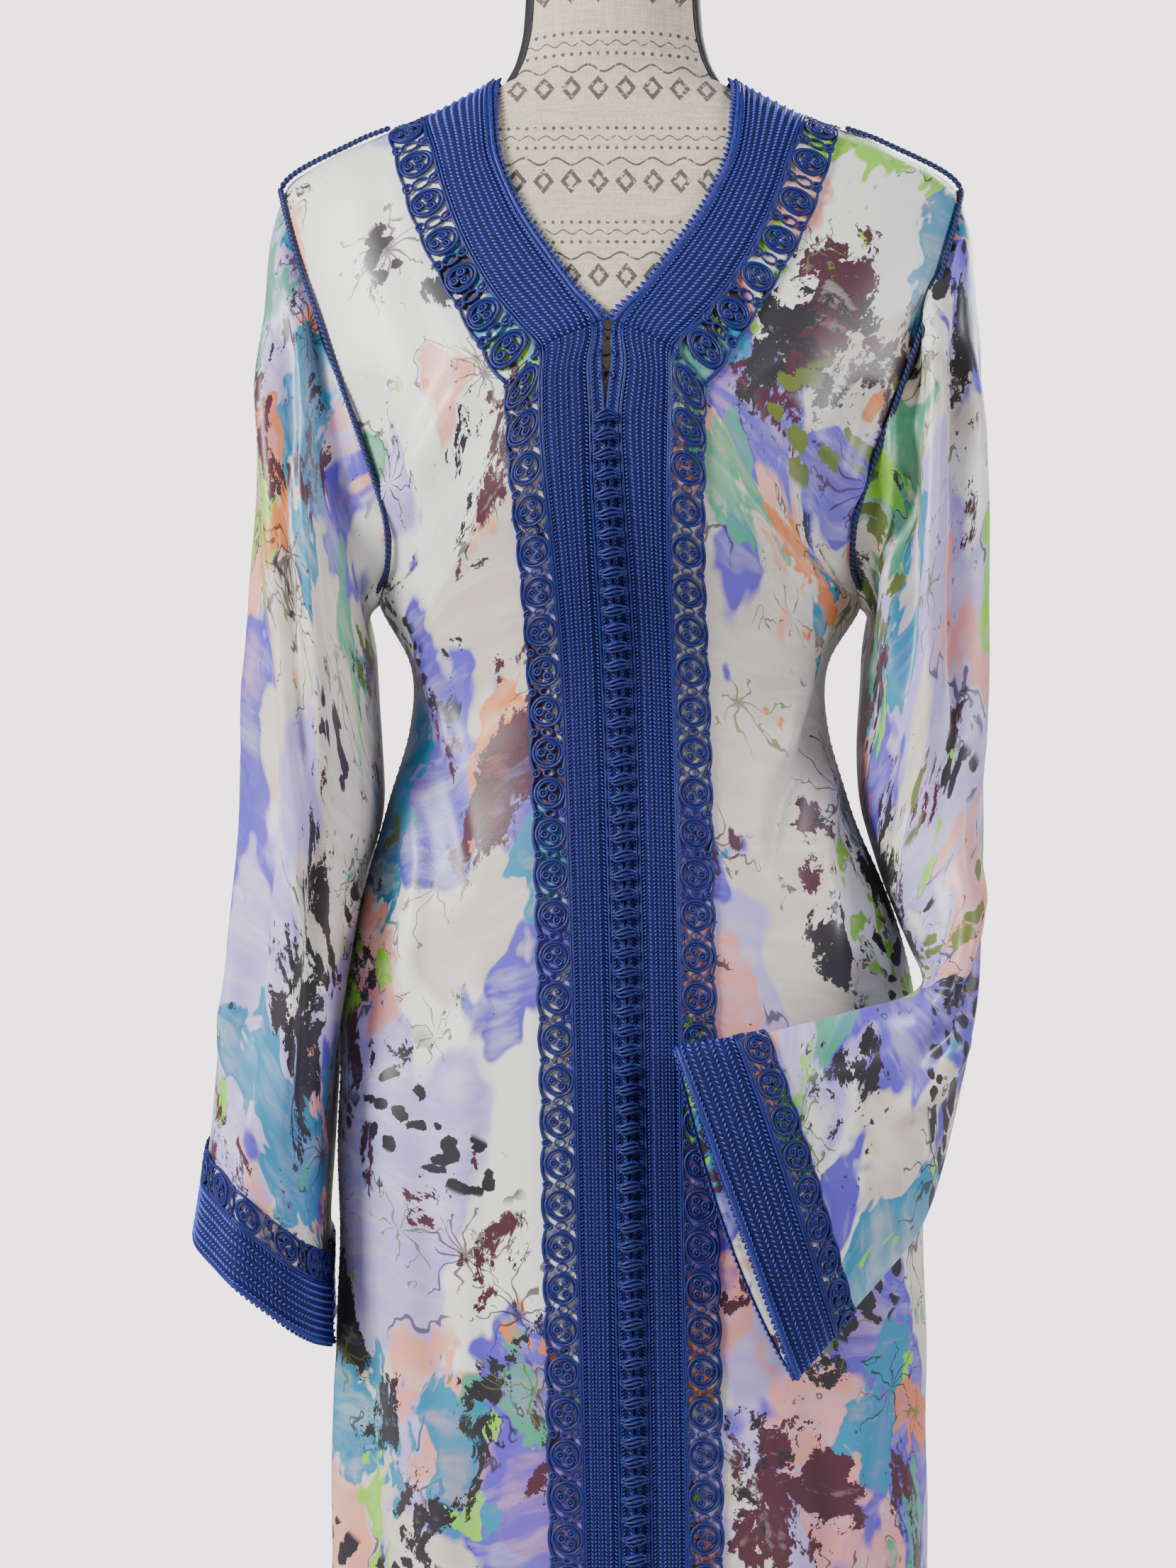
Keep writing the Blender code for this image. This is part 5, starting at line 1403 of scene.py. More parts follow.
def linen_material(colours):
    """Plain-woven linen with slubs and rows of small stamped lozenges, dots and waves."""
    shades = Shades("linen_cover", 0.85)
    place = shades.place()
    warp = shades.noise(shades.moved(place, scale=(900.0, 900.0, 60.0)), 1.0, 2.0)
    weft = shades.noise(shades.moved(place, scale=(60.0, 60.0, 900.0)), 1.0, 2.0)
    height = shades.math("ADD", warp, weft)
    # Painted shade: the weave's low places take the darker colour
    colour = shades.blend(shades.rise(height, 0.8, 1.25), colours["linen_dark"], colours["linen"])
    x, _, z = shades.node("ShaderNodeSeparateXYZ", {0: place}).outputs
    total = 0.0
    for row in LINEN_ROWS:
        total = shades.math("MAXIMUM", stamped_mark(shades, x, z, row), total)
    worn = shades.rise(shades.noise(place, 420.0, 2.0), 0.30, 0.45)
    shades.set("Base Color", shades.blend(shades.times(total, worn, 0.88), colour, colours["tape"]))
    shades.set("Sheen Weight", 0.2)
    shades.bump(height, 0.0003, 0.7)
    return shades.material


def wood_material(colours):
    """Turned wood with grain along its height."""
    shades = Shades("turned_wood", 0.38)
    grain = shades.noise(shades.moved(shades.place(), scale=(60.0, 60.0, 9.0)), 1.0, 4.0, 0.6, 0.8)
    share = shades.rise(grain, 0.3, 0.7)
    shades.set("Base Color", shades.blend(share, colours["wood_dark"], colours["wood"]))
    shades.bump(grain, 0.0002, 0.4)
    return shades.material


def metal_material(colours):
    """Black powder-coated steel."""
    shades = Shades("coated_steel", 0.46)
    grain = shades.noise(shades.place(), 900.0, 2.0)
    shades.set("Base Color", colours["metal"])
    shades.set("Roughness", shades.rise(grain, 0.3, 0.7, 0.38, 0.55))
    shades.bump(grain, 0.00008, 0.5)
    return shades.material


def floor_material(colours):
    """Plain pale floor."""
    shades = Shades("floor", 0.9)
    grain = shades.noise(shades.place(), 3.0, 3.0)
    pale = colours["floor"]
    shades.set("Base Color", shades.blend(grain, pale, tuple(0.97 * value for value in pale)))
    shades.set("Specular IOR Level", 0.1)
    return shades.material


def crease_rule(front, back, trim_columns=None, trim_rows=None):
    """Crease height for a surface: one list for what faces forward, one for what faces back."""

    def height(points, ways, u, v):
        """Height at each point."""
        total = np.zeros(points.shape[:-1])
        for creases, facing in ((front, -ways[..., 1]), (back, ways[..., 1])):
            if creases:
                total += crease_height(points, creases) * smooth_step(facing, *CREASE_FACING)
        x, z = points[..., 0], points[..., 2]
        total += WAVE * (np.sin(95.0 * x + 22.0 * z) + np.sin(47.0 * x - 63.0 * z + 1.3))
        total += WAVE * 0.6 * np.sin(148.0 * x + 31.0 * z + 2.1 + 1.5 * np.sin(9.0 * z))
        if trim_columns is not None:
            total *= smooth_step(u, *trim_columns)
        if trim_rows is not None:
            total *= 1.0 - smooth_step(v, *trim_rows)
        return total

    return height


SURFACES = {}


def make_surfaces():
    """Smooth surfaces of every cloth panel, kept for the operators."""
    if SURFACES:
        return SURFACES
    for side, word, creases in ((-1, "right", FRONT_RIGHT_CREASES), (1, "left", FRONT_LEFT_CREASES)):
        rule = crease_rule(creases, None, TRIM_COLUMNS)
        SURFACES[f"front_{word}"] = Surface(front_patch(side), False, rule)
    body, collar = back_patches()
    SURFACES["back"] = Surface(body, False, crease_rule(None, BACK_CREASES))
    SURFACES["collar"] = Surface(collar)
    hanging = sleeve_patch(HANGING_SLEEVE, -1, (1,) * 10)
    folded = sleeve_patch(FOLDED_SLEEVE, 1, (1,) * 6 + (2, 2) + (1,) * 5)
    show_back_layer(folded)
    sleeves = zip(WORDS, (hanging, folded), (SLEEVE_RIGHT_CREASES, SLEEVE_LEFT_CREASES))
    for word, patch, creases in sleeves:
        last = patch.rows - 1
        back = []
        for path, width, height in creases[:BACK_CREASES_USED]:
            back.append(([(x, z + BACK_CREASE_RISE) for x, z in path], width * BACK_CREASE_WIDTH, -height))
        rule = crease_rule(creases, back, None, (last - TRIM_ROWS[0], last - TRIM_ROWS[1]))
        SURFACES[f"sleeve_{word}"] = Surface(patch, True, rule)
    SURFACES["buttons"] = Surface(button_patch())
    return SURFACES


def show_back_layer(patch):
    """Slides the back layer of the laid cuff a little past the front layer, most at its lower half."""
    ends = [point.z for point in patch.points[-1]]
    high, low = max(ends), min(ends)
    for column in range(patch.columns):
        share = (high - patch.points[-1][column].z) / (high - low)
        behind = ramp(patch.normals[-1][column].y, *BACK_LAYER_FACING)
        slide = BACK_LAYER_SLIDE * behind * math.sin(math.pi * min(1.0, share ** 1.3)) ** 0.7
        way = (patch.points[-1][column] - patch.points[-2][column]).normalized()
        for row, keep in BACK_LAYER_ROWS:
            patch.points[row][column] += way * slide * keep


def button_patch():
    """Narrow strip between the two front edges, for the knots."""
    right, left = front_patch(-1), front_patch(1)
    points, normals = [], []
    for row in range(BUTTON_ROW + 2):
        middle = (right.points[row][0] + left.points[row][0]) * 0.5
        way = (right.normals[row][0] + left.normals[row][0]).normalized()
        points.append([right.points[row][1], middle, left.points[row][1]])
        normals.append([right.normals[row][1], way, left.normals[row][1]])
    return Patch(points, normals)


def front_route(word, name, lift):
    """Route of a strip on a front panel: braid, lace or edge, with neck_ before it above the mitre."""
    surface = SURFACES[f"front_{word}"]
    strip = name.split("_")[-1]
    low, high = STRIP_COLUMNS[strip]
    start, end, width = HEM_INSET, MITRE_ROW - END_INSET, FRONT_WIDTHS[strip]
    if name != strip:
        start, end, width = MITRE_ROW + MITRE_INSET, surface.rows - 1.0 - END_INSET, NECK_WIDTHS[strip]
    return Route(surface, (low, start), (0.0, end - start), (high - low, 0.0), width, lift)


def collar_route(strip, lift):
    """Route of a strip round the back of the neck."""
    surface = SURFACES["collar"]
    low, high = STRIP_COLUMNS[strip]
    along = (0.0, surface.rows - 1.0 - 2.0 * END_INSET)
    return Route(surface, (low, END_INSET), along, (high - low, 0.0), NECK_WIDTHS[strip], lift)


def cuff_route(word, strip, lift):
    """Route of a strip round a sleeve's end, from the underarm round and back."""
    surface = SURFACES[f"sleeve_{word}"]
    half = (surface.columns - 1) / 2.0
    low, high = CUFF_ROWS[strip]
    place = (half, surface.rows - 1.0 - low)
    return Route(surface, place, (2.0 * half, 0.0), (0.0, low - high), CUFF_WIDTHS[strip], lift)


def ribbon(mass, route):
    """Flat woven band along a route, as a closed strip."""
    count, across = max(4, int(route.length / RIBBON_STEP)), RIBBON_LINES
    along = np.repeat(np.linspace(0.0, route.length, count), across)
    over = np.tile(np.linspace(0.0, route.width, across), count)
    walls = [route.lay(along, over, np.full(along.size, height)) for height in (RIBBON_THICKNESS, 0.0)]
    size = count * across
    faces = []
    for r in range(count - 1):
        for c in range(across - 1):
            a0, b0 = r * across + c, r * across + c + 1
            faces.append((a0, b0, b0 + across, a0 + across))
            faces.append((size + a0, size + a0 + across, size + b0 + across, size + b0))
        for c in (0, across - 1):
            a0, d0 = r * across + c, (r + 1) * across + c
            faces.append((a0, d0, size + d0, size + a0))
    for r in (0, count - 1):
        for c in range(across - 1):
            a0 = r * across + c
            faces.append((a0, a0 + 1, size + a0 + 1, size + a0))
    mass.add(np.concatenate(walls), faces)


def line_cord(mass, route, across, height, radius, sides=5, step=0.004):
    """Cord along a route at a place across it."""
    count = max(4, int(route.length / step))
    along = np.linspace(0.0, route.length, count)
    over = np.full(count, across)
    path = route.lay(along, over, np.full(count, height))
    ways = route.lay(along, over, np.full(count, height + 0.001)) - path
    mass.add(*sweep(path, radius, sides, False, ways))


def stitch_rows(mass, route, rows, pitch, kinds):
    """Rows of slanted stitches along a route, of two kinds in turn."""
    size = route.width / rows
    for row in range(rows):
        across, along, slant, top, start = kinds[row % 2]
        stitch = leaf(size * across, pitch * along, math.radians(slant), top)
        mass.add(*route.repeat(stitch, route.row(int(route.length / pitch), (row + 0.5) * size, start)))


def flat_ring(x, y, reach_x, reach_y, height, count):
    """Points of a flat oval."""
    turns = np.linspace(0.0, 2.0 * np.pi, count + 1)[:-1]
    columns = (x + reach_x * np.cos(turns), y + reach_y * np.sin(turns), np.full(count, height))
    return np.stack(columns, axis=1)


def lace_motif(width, pitch):
    """Flat lace repeat: two ring cords round a trefoil, scalloped edge cords, and coils between the rings."""
    middle, side = 0.5 * width, 0.5 * pitch
    ring = min(0.42 * width, 0.37 * pitch)
    coil = max(0.0022, min(0.0040, 0.88 * (side - ring)))
    shares = np.linspace(-1.0, 1.0, 13)
    bow = ring + 0.0016 - 0.26 * ring * np.abs(shares) ** 2.2
    parts = []
    for bend in (bow, -0.97 * bow):
        path = np.stack([shares * side, middle + bend, np.full(13, 0.0008)], axis=1)
        parts.append(sweep(path, 0.0012, 4, False))
    # Ovals: x, y from the middle, reach along and across, height, segments, cord radius
    ovals = [
        (0.0, 0.0, ring, ring, 0.0012, 22, 0.00115),
        (0.0, 0.0, ring - 0.0018, ring - 0.0018, 0.0010, 20, 0.00095),
        (side, 0.0, 0.8 * coil, 1.1 * coil, 0.0011, 8, 0.0009),
    ]
    for y, size in ((0.86 * ring, 0.72 * coil), (-0.84 * ring, 0.648 * coil)):
        ovals.append((side, y, size, size, 0.0013, 9, 0.0009))
        parts.append(bead(0.0010, 0.0013, (side, middle + y, 0.0012)))
    for turn in (90, 210, 330):
        x, y = 0.42 * ring * math.cos(math.radians(turn)), 0.42 * ring * math.sin(math.radians(turn))
        ovals.append((x, y, 0.2516 * ring, 0.2516 * ring, 0.0014, 9, 0.00105))
        parts.append(bead(0.0012, 0.0013, (x, middle + y, 0.0013)))
    for x, y, reach_x, reach_y, height, count, radius in ovals:
        parts.append(sweep(flat_ring(x, middle + y, reach_x, reach_y, height, count), radius, 4, True))
    return join_templates(parts)


def lace_run(mass, route, repeats):
    """Lace repeats evenly along a route, and the cord along its inner edge."""
    mass.add(*route.repeat(lace_motif(route.width, route.length / repeats), route.row(repeats)))
    line_cord(mass, route, 0.0006, 0.0009, 0.0011, 5, 0.005)


def add_satin(sizes, colours):
    """The five cloth panels as thin shells."""
    surfaces = make_surfaces()
    satin = satin_material(colours)
    for name, node, columns, rows, offset, flat, area in PANELS:
        surface = surfaces["collar" if name == "back_neck" else name]
        panel = sheet_piece(name, node, surface, columns, rows, sizes.cloth_thickness, offset, satin)


def add_braid(sizes, colours):
    """Woven ground, herringbone stitches and edge cords of every braid."""
    make_surfaces()
    # The ground ribbon is partly the braid's own ground and partly a dark sheet of painted shade under the
    # stitches
    ground_and_shade_cloth = cord_material("braid_ground", colours["braid_dark"], colours["ground"], 900.0, 0.85)
    # Silk stitches: braid colour in the strand hollows, painted highlight on the strand tops
    silk = cord_material("braid_silk", colours["braid"], colours["braid_bright"], 1500.0)
    cord = cord_material("braid_cord", colours["braid_dark"], colours["lace"], 1100.0)
    ground, edges, fronts, necks, cuffs = (Mass() for _ in range(5))
    pitch = sizes.stitch_pitch
    corded, plain = [collar_route("braid", BRAID_LIFT)], [collar_route("edge", BRAID_LIFT)]
    stitch_rows(necks, corded[0], 9, pitch * 1.1, ROPE)
    for word in WORDS:
        front, neck = (front_route(word, name, BRAID_LIFT) for name in ("braid", "neck_braid"))
        edge, neck_edge = (front_route(word, name, BRAID_LIFT) for name in ("edge", "neck_edge"))
        cuff = cuff_route(word, "braid", BRAID_LIFT)
        stitch_rows(fronts, front, 8, pitch, HERRINGBONE)
        stitch_rows(fronts, edge, 2, pitch, HERRINGBONE)
        stitch_rows(necks, neck, 9, pitch * 1.1, ROPE)
        stitch_rows(cuffs, cuff, 8, pitch * 1.3, HERRINGBONE)
        corded += [front, neck, cuff]
        plain += [edge, neck_edge]
    for route in corded + plain:
        ribbon(ground, route)
    for route in corded:
        for across in (0.0, route.width):
            line_cord(edges, route, across, *EDGE_CORD)
    ground.finish("braid_ground", ground_and_shade_cloth, "braid")
    fronts.finish("front_braid_stitches", silk, "braid", ("braid_front_right", "braid_front_left"))
    nodes = ("braid_neck_right", "braid_neck_left", "braid_neck_back")
    necks.finish("neck_braid_stitches", silk, "braid", nodes)
    cuffs.finish("cuff_braid_stitches", silk, "braid", ("cuff_braid_right", "cuff_braid_left"))
    edges.finish("braid_edge_cords", cord, "braid")


def add_lace(sizes, colours):
    """Corded openwork beside the braids."""
    make_surfaces()
    # Lace thread: painted shade between its strands
    thread = cord_material("lace_thread", colours["lace_dark"], colours["lace"], 1300.0)
    fronts, necks, cuffs = (Mass() for _ in range(3))
    for word in WORDS:
        lace_run(fronts, front_route(word, "lace", LACE_SIT), 48)
        lace_run(necks, front_route(word, "neck_lace", LACE_SIT), 8)
        lace_run(cuffs, cuff_route(word, "lace", LACE_SIT), 17)
    lace_run(necks, collar_route("lace", LACE_SIT), 10)
    fronts.finish("front_lace", thread, "lace", ("lace_front_right", "lace_front_left"))
    necks.finish("neck_lace", thread, "lace", ("lace_neck_right", "lace_neck_left", "lace_neck_back"))
    nodes = [f"cuff_lace_{word}_{face}" for word in WORDS for face in ("front", "back")]
    cuffs.finish("cuff_lace", thread, "lace", nodes)


def knot_template():
    """One knotted button: a body and three wraps of cord."""
    along, across, high = KNOT_SIZE
    points, faces = bead(1.0, 1.0)
    parts = [(np.asarray(points) * KNOT_SIZE + (0.0, 0.0, KNOT_RISE), faces)]
    for lean in (-0.62, 0.0, 0.62):
        half = np.linspace(-1.25, 1.25, 9)
        x = lean * along * np.cos(half) + 0.25 * along * np.sin(2.0 * half)
        y, z = across * 1.04 * np.sin(half), KNOT_RISE + high * 1.04 * np.cos(half) * math.cos(lean)
        parts.append(sweep(np.stack([x, y, z], axis=1), KNOT_CORD, 4, False))
    return join_templates(parts)


def loop_template():
    """The paired cords on both sides of a knot."""
    parts = []
    for side in (-1.0, 1.0):
        for away in (-0.0011, 0.0011):
            path = [(away * spread, side * out, height) for spread, out, height in LOOP_PATH]
            parts.append(sweep(path, KNOT_CORD, 5, False))
    return join_templates(parts)


def add_buttons(sizes, colours):
    """Column of knotted buttons with their loops."""
    surfaces = make_surfaces()
    # Knot thread: painted shade between its strands
    thread = cord_material("knot_thread", colours["knot_dark"], colours["knot"], 1200.0)
    place, along = (0.0, HEM_INSET), (0.0, BUTTON_ROW + BUTTON_REACH - HEM_INSET)
    route = Route(surfaces["buttons"], place, along, (2.0, 0.0), 2.0 * BRAID_INNER, BRAID_LIFT)
    places = route.row(round(route.length / BUTTON_PITCH), route.width / 2.0)
    knots, bands = Mass(), Mass()
    knots.add(*route.repeat(knot_template(), places))
    bands.add(*route.repeat(loop_template(), places))
    for word in WORDS:
        edge = front_route(word, "edge", BRAID_LIFT)
        line_cord(bands, edge, 0.0010, 0.0006, 0.0009)
        line_cord(bands, edge, 0.0068, 0.0008, 0.0009)
    knots.finish("knotted_buttons", thread, "knot", ("button_strip",))
    bands.finish("button_loops", thread, "knot")


def periodic(points, step):
    """Closed smooth path resampled at about one step."""
    grid = np.asarray(points)
    knots = run_lengths(np.concatenate([grid, grid[:1]]))
    count = int(knots[-1] / step)
    place = np.interp(np.linspace(0.0, knots[-1], count + 1)[:-1], knots, np.arange(len(knots)))
    index, weights = spread_weights(place, knots, True)
    return (weights[..., None] * grid[index]).sum(axis=1)


def twisted_cord(mass, path, ways, closed):
    """Two strands wound round a path."""
    run = run_lengths(path)
    total = run[-1] + (np.linalg.norm(path[0] - path[-1]) if closed else 0.0)
    across, up = path_frame(path, ways, closed)
    rounds = max(1, round(total / TWIST_PITCH))
    for phase in (0.0, np.pi):
        turn = 2.0 * np.pi * rounds * run / total + phase
        line = path + TWIST_RADIUS * (np.cos(turn)[:, None] * across + np.sin(turn)[:, None] * up)
        mass.add(*sweep(line, STRAND_RADIUS, 5, closed, ways))


def add_piping(sizes, colours):
    """Twisted cords along the armhole and shoulder seams."""
    surfaces = make_surfaces()
    # Piping thread: painted shade between its strands
    thread = cord_material("piping_thread", colours["piping_dark"], colours["piping"], 1000.0)
    for side, word in ((-1, "right"), (1, "left")):
        mass = Mass()
        grid = surfaces[f"sleeve_{word}"].grid
        loop, ways = armhole_loop(side)
        points, outs = [], []
        count = len(loop) - 1
        for k in range(count):
            along = loop[(k + 1) % count] - loop[(k - 1) % count]
            face = Vector(grid[1][k] - grid[0][k]).cross(along).normalized()
            if face.dot(ways[k]) < 0.0:
                face = -face
            way = (ways[k] + face).normalized()
            points.append(loop[k] + way * (PIPING_LIFT / max(0.55, way.dot(ways[k]))))
            outs.append(way)
        path, lean = periodic(points, PIPING_STEP), periodic(outs, PIPING_STEP)
        lean = lean[np.linspace(0, len(lean) - 1, len(path)).astype(int)]
        lean /= np.linalg.norm(lean, axis=1, keepdims=True)
        twisted_cord(mass, path, lean, True)
        levels = np.linspace(NECK_LINES[-1][4] - STRAND_RADIUS, ARMHOLE[-1][0] + STRAND_RADIUS, 60)
        seam = np.array([tuple(body_point(SHOULDER_ANGLE * side, z)) for z in levels])
        out = np.array([tuple(body_normal(SHOULDER_ANGLE * side, z)) for z in levels])
        twisted_cord(mass, seam + out * SHOULDER_LIFT, out, False)
        nodes = (f"armhole_cord_{word}", f"shoulder_cord_{word}")
        mass.finish(f"seam_piping_{word}", thread, "piping", nodes)


def add_edging(sizes, colours):
    """Whipped cord with small picots on the neck, slit and cuff edges, and the slit's eyes."""
    make_surfaces()
    # Edging thread: painted shade between its strands
    thread = cord_material("edging_thread", colours["braid_dark"], colours["braid"], 1200.0)
    mass = Mass()
    turns = np.linspace(0.0, np.pi, 7)
    path = np.stack([0.0012 * np.cos(turns), -0.0019 * np.sin(turns), np.full(7, 0.0004)], axis=1)
    picot = sweep(path, 0.00085, 4, False)
    routes = [front_route(word, "neck_edge", BRAID_LIFT) for word in WORDS]
    routes += [collar_route("edge", BRAID_LIFT)]
    routes += [cuff_route(word, "edge", BRAID_LIFT) for word in WORDS]
    for route in routes:
        line_cord(mass, route, 0.0004, 0.0004, 0.0014, 6, 0.0035)
        line_cord(mass, route, 0.0022, 0.0006, 0.0009, 5, 0.0035)
        mass.add(*route.repeat(picot, route.row(int(route.length / PICOT_PITCH))))
    eye = sweep(flat_ring(0.0, 0.0, 0.0021, 0.0015, 0.0014, 8), 0.00055, 4, True)
    for word in WORDS:
        slit = front_route(word, "edge", BRAID_LIFT)
        mass.add(*slit.repeat(eye, [(slit.length - back, 0.0012) for back in SLIT_EYES]))
    mass.finish("edge_picots", thread, "braid")


def add_sewing(sizes, colours):
    """Running stitches of the hem and the side seams."""
    surfaces = make_surfaces()
    # Sewing thread: painted shade between its strands
    thread = cord_material("sewing_thread", colours["linen_dark"], colours["satin"], 1500.0)
    stitch = leaf(0.0016, 0.00035, 0.0, 0.0005)
    mass = Mass()
    for name, first in (("front_right", 3.12), ("front_left", 3.12), ("back", 0.12)):
        surface = surfaces[name]
        last, rise = surface.columns - 1.12, surface.rows * 0.62 - 0.4
        lines = [((first, HEM_STITCH_ROW), (last - first, 0.0)), ((last, 0.4), (0.0, rise))]
        if name == "back":
            lines.append(((first, 0.4), (0.0, rise)))
        for place, along in lines:
            route = Route(surface, place, along, (0.02, 0.02), 0.002, 0.0)
            mass.add(*route.repeat(stitch, route.row(int(route.length / STITCH_PITCH))))
    mass.finish("sewing_stitches", thread, "satin")


def oval_point(half_x, half_y, angle, z):
    """Point of the form's oval neck at an angle in degrees."""
    turn = math.radians(angle)
    return Vector((NECK_CENTRE[0] + half_x * math.sin(turn), NECK_CENTRE[1] - half_y * math.cos(turn), z))


def add_form(sizes, colours):
    """Linen-covered form with its neck tapes."""
    angles = [360.0 * k / FORM_SEGMENTS for k in range(FORM_SEGMENTS)]
    rings = []
    for z in np.concatenate([np.linspace(FORM_BOTTOM, 1.30, 48), np.linspace(1.31, 1.428, 18)]):
        ease = FORM_WALL + FORM_EASE + (FORM_SKIRT_EASE - FORM_EASE) * ramp(z, *FORM_SKIRT_BLEND)
        ring = []
        for angle in angles:
            point = body_point(angle, z, False)
            reach = ramp(abs(point.x), *FORM_TIP_BLEND) if z > FORM_TIP_START else 0.0
            ring.append(point - body_normal(angle, z, False) * (ease + FORM_TIP_EASE * reach))
        rings.append(ring)
    for z in np.linspace(NECK_RINGS[0][0], NECK_RINGS[-1][0], 14):
        half_x, half_y = table_value(NECK_RINGS, z, 1), table_value(NECK_RINGS, z, 2)
        rings.append([oval_point(half_x, half_y, angle, z) for angle in angles])
    shape = bmesh.new()
    verts = [[shape.verts.new(point) for point in ring] for ring in rings]
    loops = [[shape.edges.new(pair) for pair in zip(ring, ring[1:] + ring[:1])] for ring in verts]
    for low, high in zip(loops, loops[1:]):
        bmesh.ops.bridge_loops(shape, edges=low + high)
    shape.faces.new(verts[0][::-1])
    shape.faces.new(verts[-1])
    bmesh.ops.recalc_face_normals(shape, faces=shape.faces)
    finish_piece("form_cover", shape, linen_material(colours), ("form_torso",))
    # Painted shade and highlight: the tape's own colour fills the strand hollows, the strand tops are painted
    # 1.6 times lighter
    bright = tuple(1.6 * value for value in colours["tape"])
    tape_cloth = cord_material("form_tape", colours["tape"], bright, 900.0, 0.7)
    tapes = Mass()
    heights = np.linspace(*TAPE_HEIGHTS, 24)
    size = len(TAPE_TURNS)
    for side in (-1.0, 1.0):
        points = []
        for z in heights:
            half_x, half_y = (table_value(NECK_RINGS, z, k) + TAPE_LIFT for k in (1, 2))
            points += [oval_point(half_x, half_y, side * (90.0 + turn), z) for turn in TAPE_TURNS]
        corners = [r * size + c for r in range(len(heights) - 1) for c in range(size - 1)]
        tapes.add(points, [(k, k + 1, k + size + 1, k + size) for k in corners])
    shape = tapes.shape()
    for face in shape.faces:
        middle = face.calc_center_median()
        if face.normal.dot(middle - Vector((*NECK_CENTRE, middle.z))) < 0.0:
            face.normal_flip()
    shape.normal_update()
    bmesh.ops.solidify(shape, geom=shape.faces[:], thickness=TAPE_WALL)
    finish_piece("form_tapes", shape, tape_cloth)


def spun(profile, segments):
    """Closed turned solid from (radius, z) places that start and end on the axis."""
    shape = bmesh.new()
    verts = [shape.verts.new((radius, 0.0, z)) for radius, z in profile]
    geom = verts + [shape.edges.new(pair) for pair in zip(verts, verts[1:])]
    bmesh.ops.spin(shape, geom=geom, axis=(0, 0, 1), cent=(0, 0, 0), steps=segments, angle=2.0 * math.pi)
    bmesh.ops.remove_doubles(shape, verts=shape.verts, dist=0.00001)
    bmesh.ops.recalc_face_normals(shape, faces=shape.faces)
    return shape


def add_stand(sizes, colours):
    """Turned cap, pole and round foot."""
    low, high = NECK_CAP[0], NECK_CAP[-1]
    fine = [(0.0, low[0]), (low[1], low[0])]
    for share in np.linspace(0.1, 0.9, 9):
        z = low[0] + (high[0] - low[0]) * share
        fine.append((table_value(NECK_CAP, z, 1), z))
    fine += [(high[1], high[0]), (0.0, high[0])]
    shape = spun(fine, 64)
    for vert in shape.verts:
        vert.co = (vert.co.x + NECK_CENTRE[0], vert.co.y * 0.94 + NECK_CENTRE[1], vert.co.z)
    finish_piece("neck_cap", shape, wood_material(colours), ("form_neck_cap",))
    steel = metal_material(colours)
    low, high = BASE_PROFILE[-1][1] + POLE_GAPS[0], FORM_BOTTOM - POLE_GAPS[1]
    shape = spun([(0.0, low), (POLE_RADIUS, low), (POLE_RADIUS, high), (0.0, high)], 48)
    finish_piece("pole", shape, steel, ("stand_pole",), smooth=False)
    shape = spun([(0.0, 0.0), *BASE_PROFILE, (0.0, BASE_PROFILE[-1][1])], 96)
    corners = [edge for edge in shape.edges if edge.is_manifold and edge.calc_face_angle(0.0) > 0.5]
    bmesh.ops.bevel(shape, geom=corners, offset=FOOT_BEVEL, segments=2, affect="EDGES")
    finish_piece("foot", shape, steel, ("stand_base",))


def new_object(name, data):
    """Object linked to the scene."""
    made = bpy.data.objects.new(name, data)
    bpy.context.scene.collection.objects.link(made)
    return made


def add_surroundings(sizes, backdrop):
    """Even light from all round, with a brighter backdrop that only the camera sees."""
    world = bpy.data.worlds.new("studio")
    world.use_nodes = True
    tree = world.node_tree
    ambient, shown = tree.nodes["Background"], tree.nodes.new("ShaderNodeBackground")
    for node, strength in ((ambient, sizes.ambient), (shown, sizes.backdrop)):
        node.inputs["Color"].default_value = (*backdrop, 1.0)
        node.inputs["Strength"].default_value = strength
    path = tree.nodes.new("ShaderNodeLightPath")
    pick = tree.nodes.new("ShaderNodeMixShader")
    tree.links.new(path.outputs["Is Camera Ray"], pick.inputs[0])
    tree.links.new(ambient.outputs[0], pick.inputs[1])
    tree.links.new(shown.outputs[0], pick.inputs[2])
    tree.links.new(pick.outputs[0], tree.nodes["World Output"].inputs["Surface"])
    bpy.context.scene.world = world


def add_stage(sizes, colours):
    """Pale floor and surroundings, soft lights and the camera."""
    shape = bmesh.new()
    bmesh.ops.create_circle(shape, cap_ends=True, segments=96, radius=FLOOR_RADIUS)
    mesh = bpy.data.meshes.new("floor")
    shape.to_mesh(mesh)
    shape.free()
    mesh.materials.append(floor_material(colours))
    floor = new_object("floor", mesh)
    floor.location.z = -FLOOR_GAP
    add_surroundings(sizes, colours["backdrop"])
    for name, place, height, size, share, tint in LIGHTS:
        lamp = bpy.data.lights.new(name, "AREA")
        lamp.shape = "DISK"
        lamp.size = size
        lamp.energy = sizes.key_power * share
        lamp.color = tint
        item = new_object(name, lamp)
        item.location = place
        way = Vector((0.0, 0.0, height)) - Vector(place)
        item.rotation_euler = way.to_track_quat("-Z", "Y").to_euler()
    lens = bpy.data.cameras.new("view")
    lens.lens = LENS
    lens.sensor_width = SENSOR_WIDTH
    lens.sensor_fit = "AUTO"
    lens.clip_start = 0.05
    camera = new_object("view", lens)
    camera.location = CAMERA_PLACE
    camera.rotation_euler = (math.radians(90.0), 0.0, 0.0)
    bpy.context.scene.camera = camera


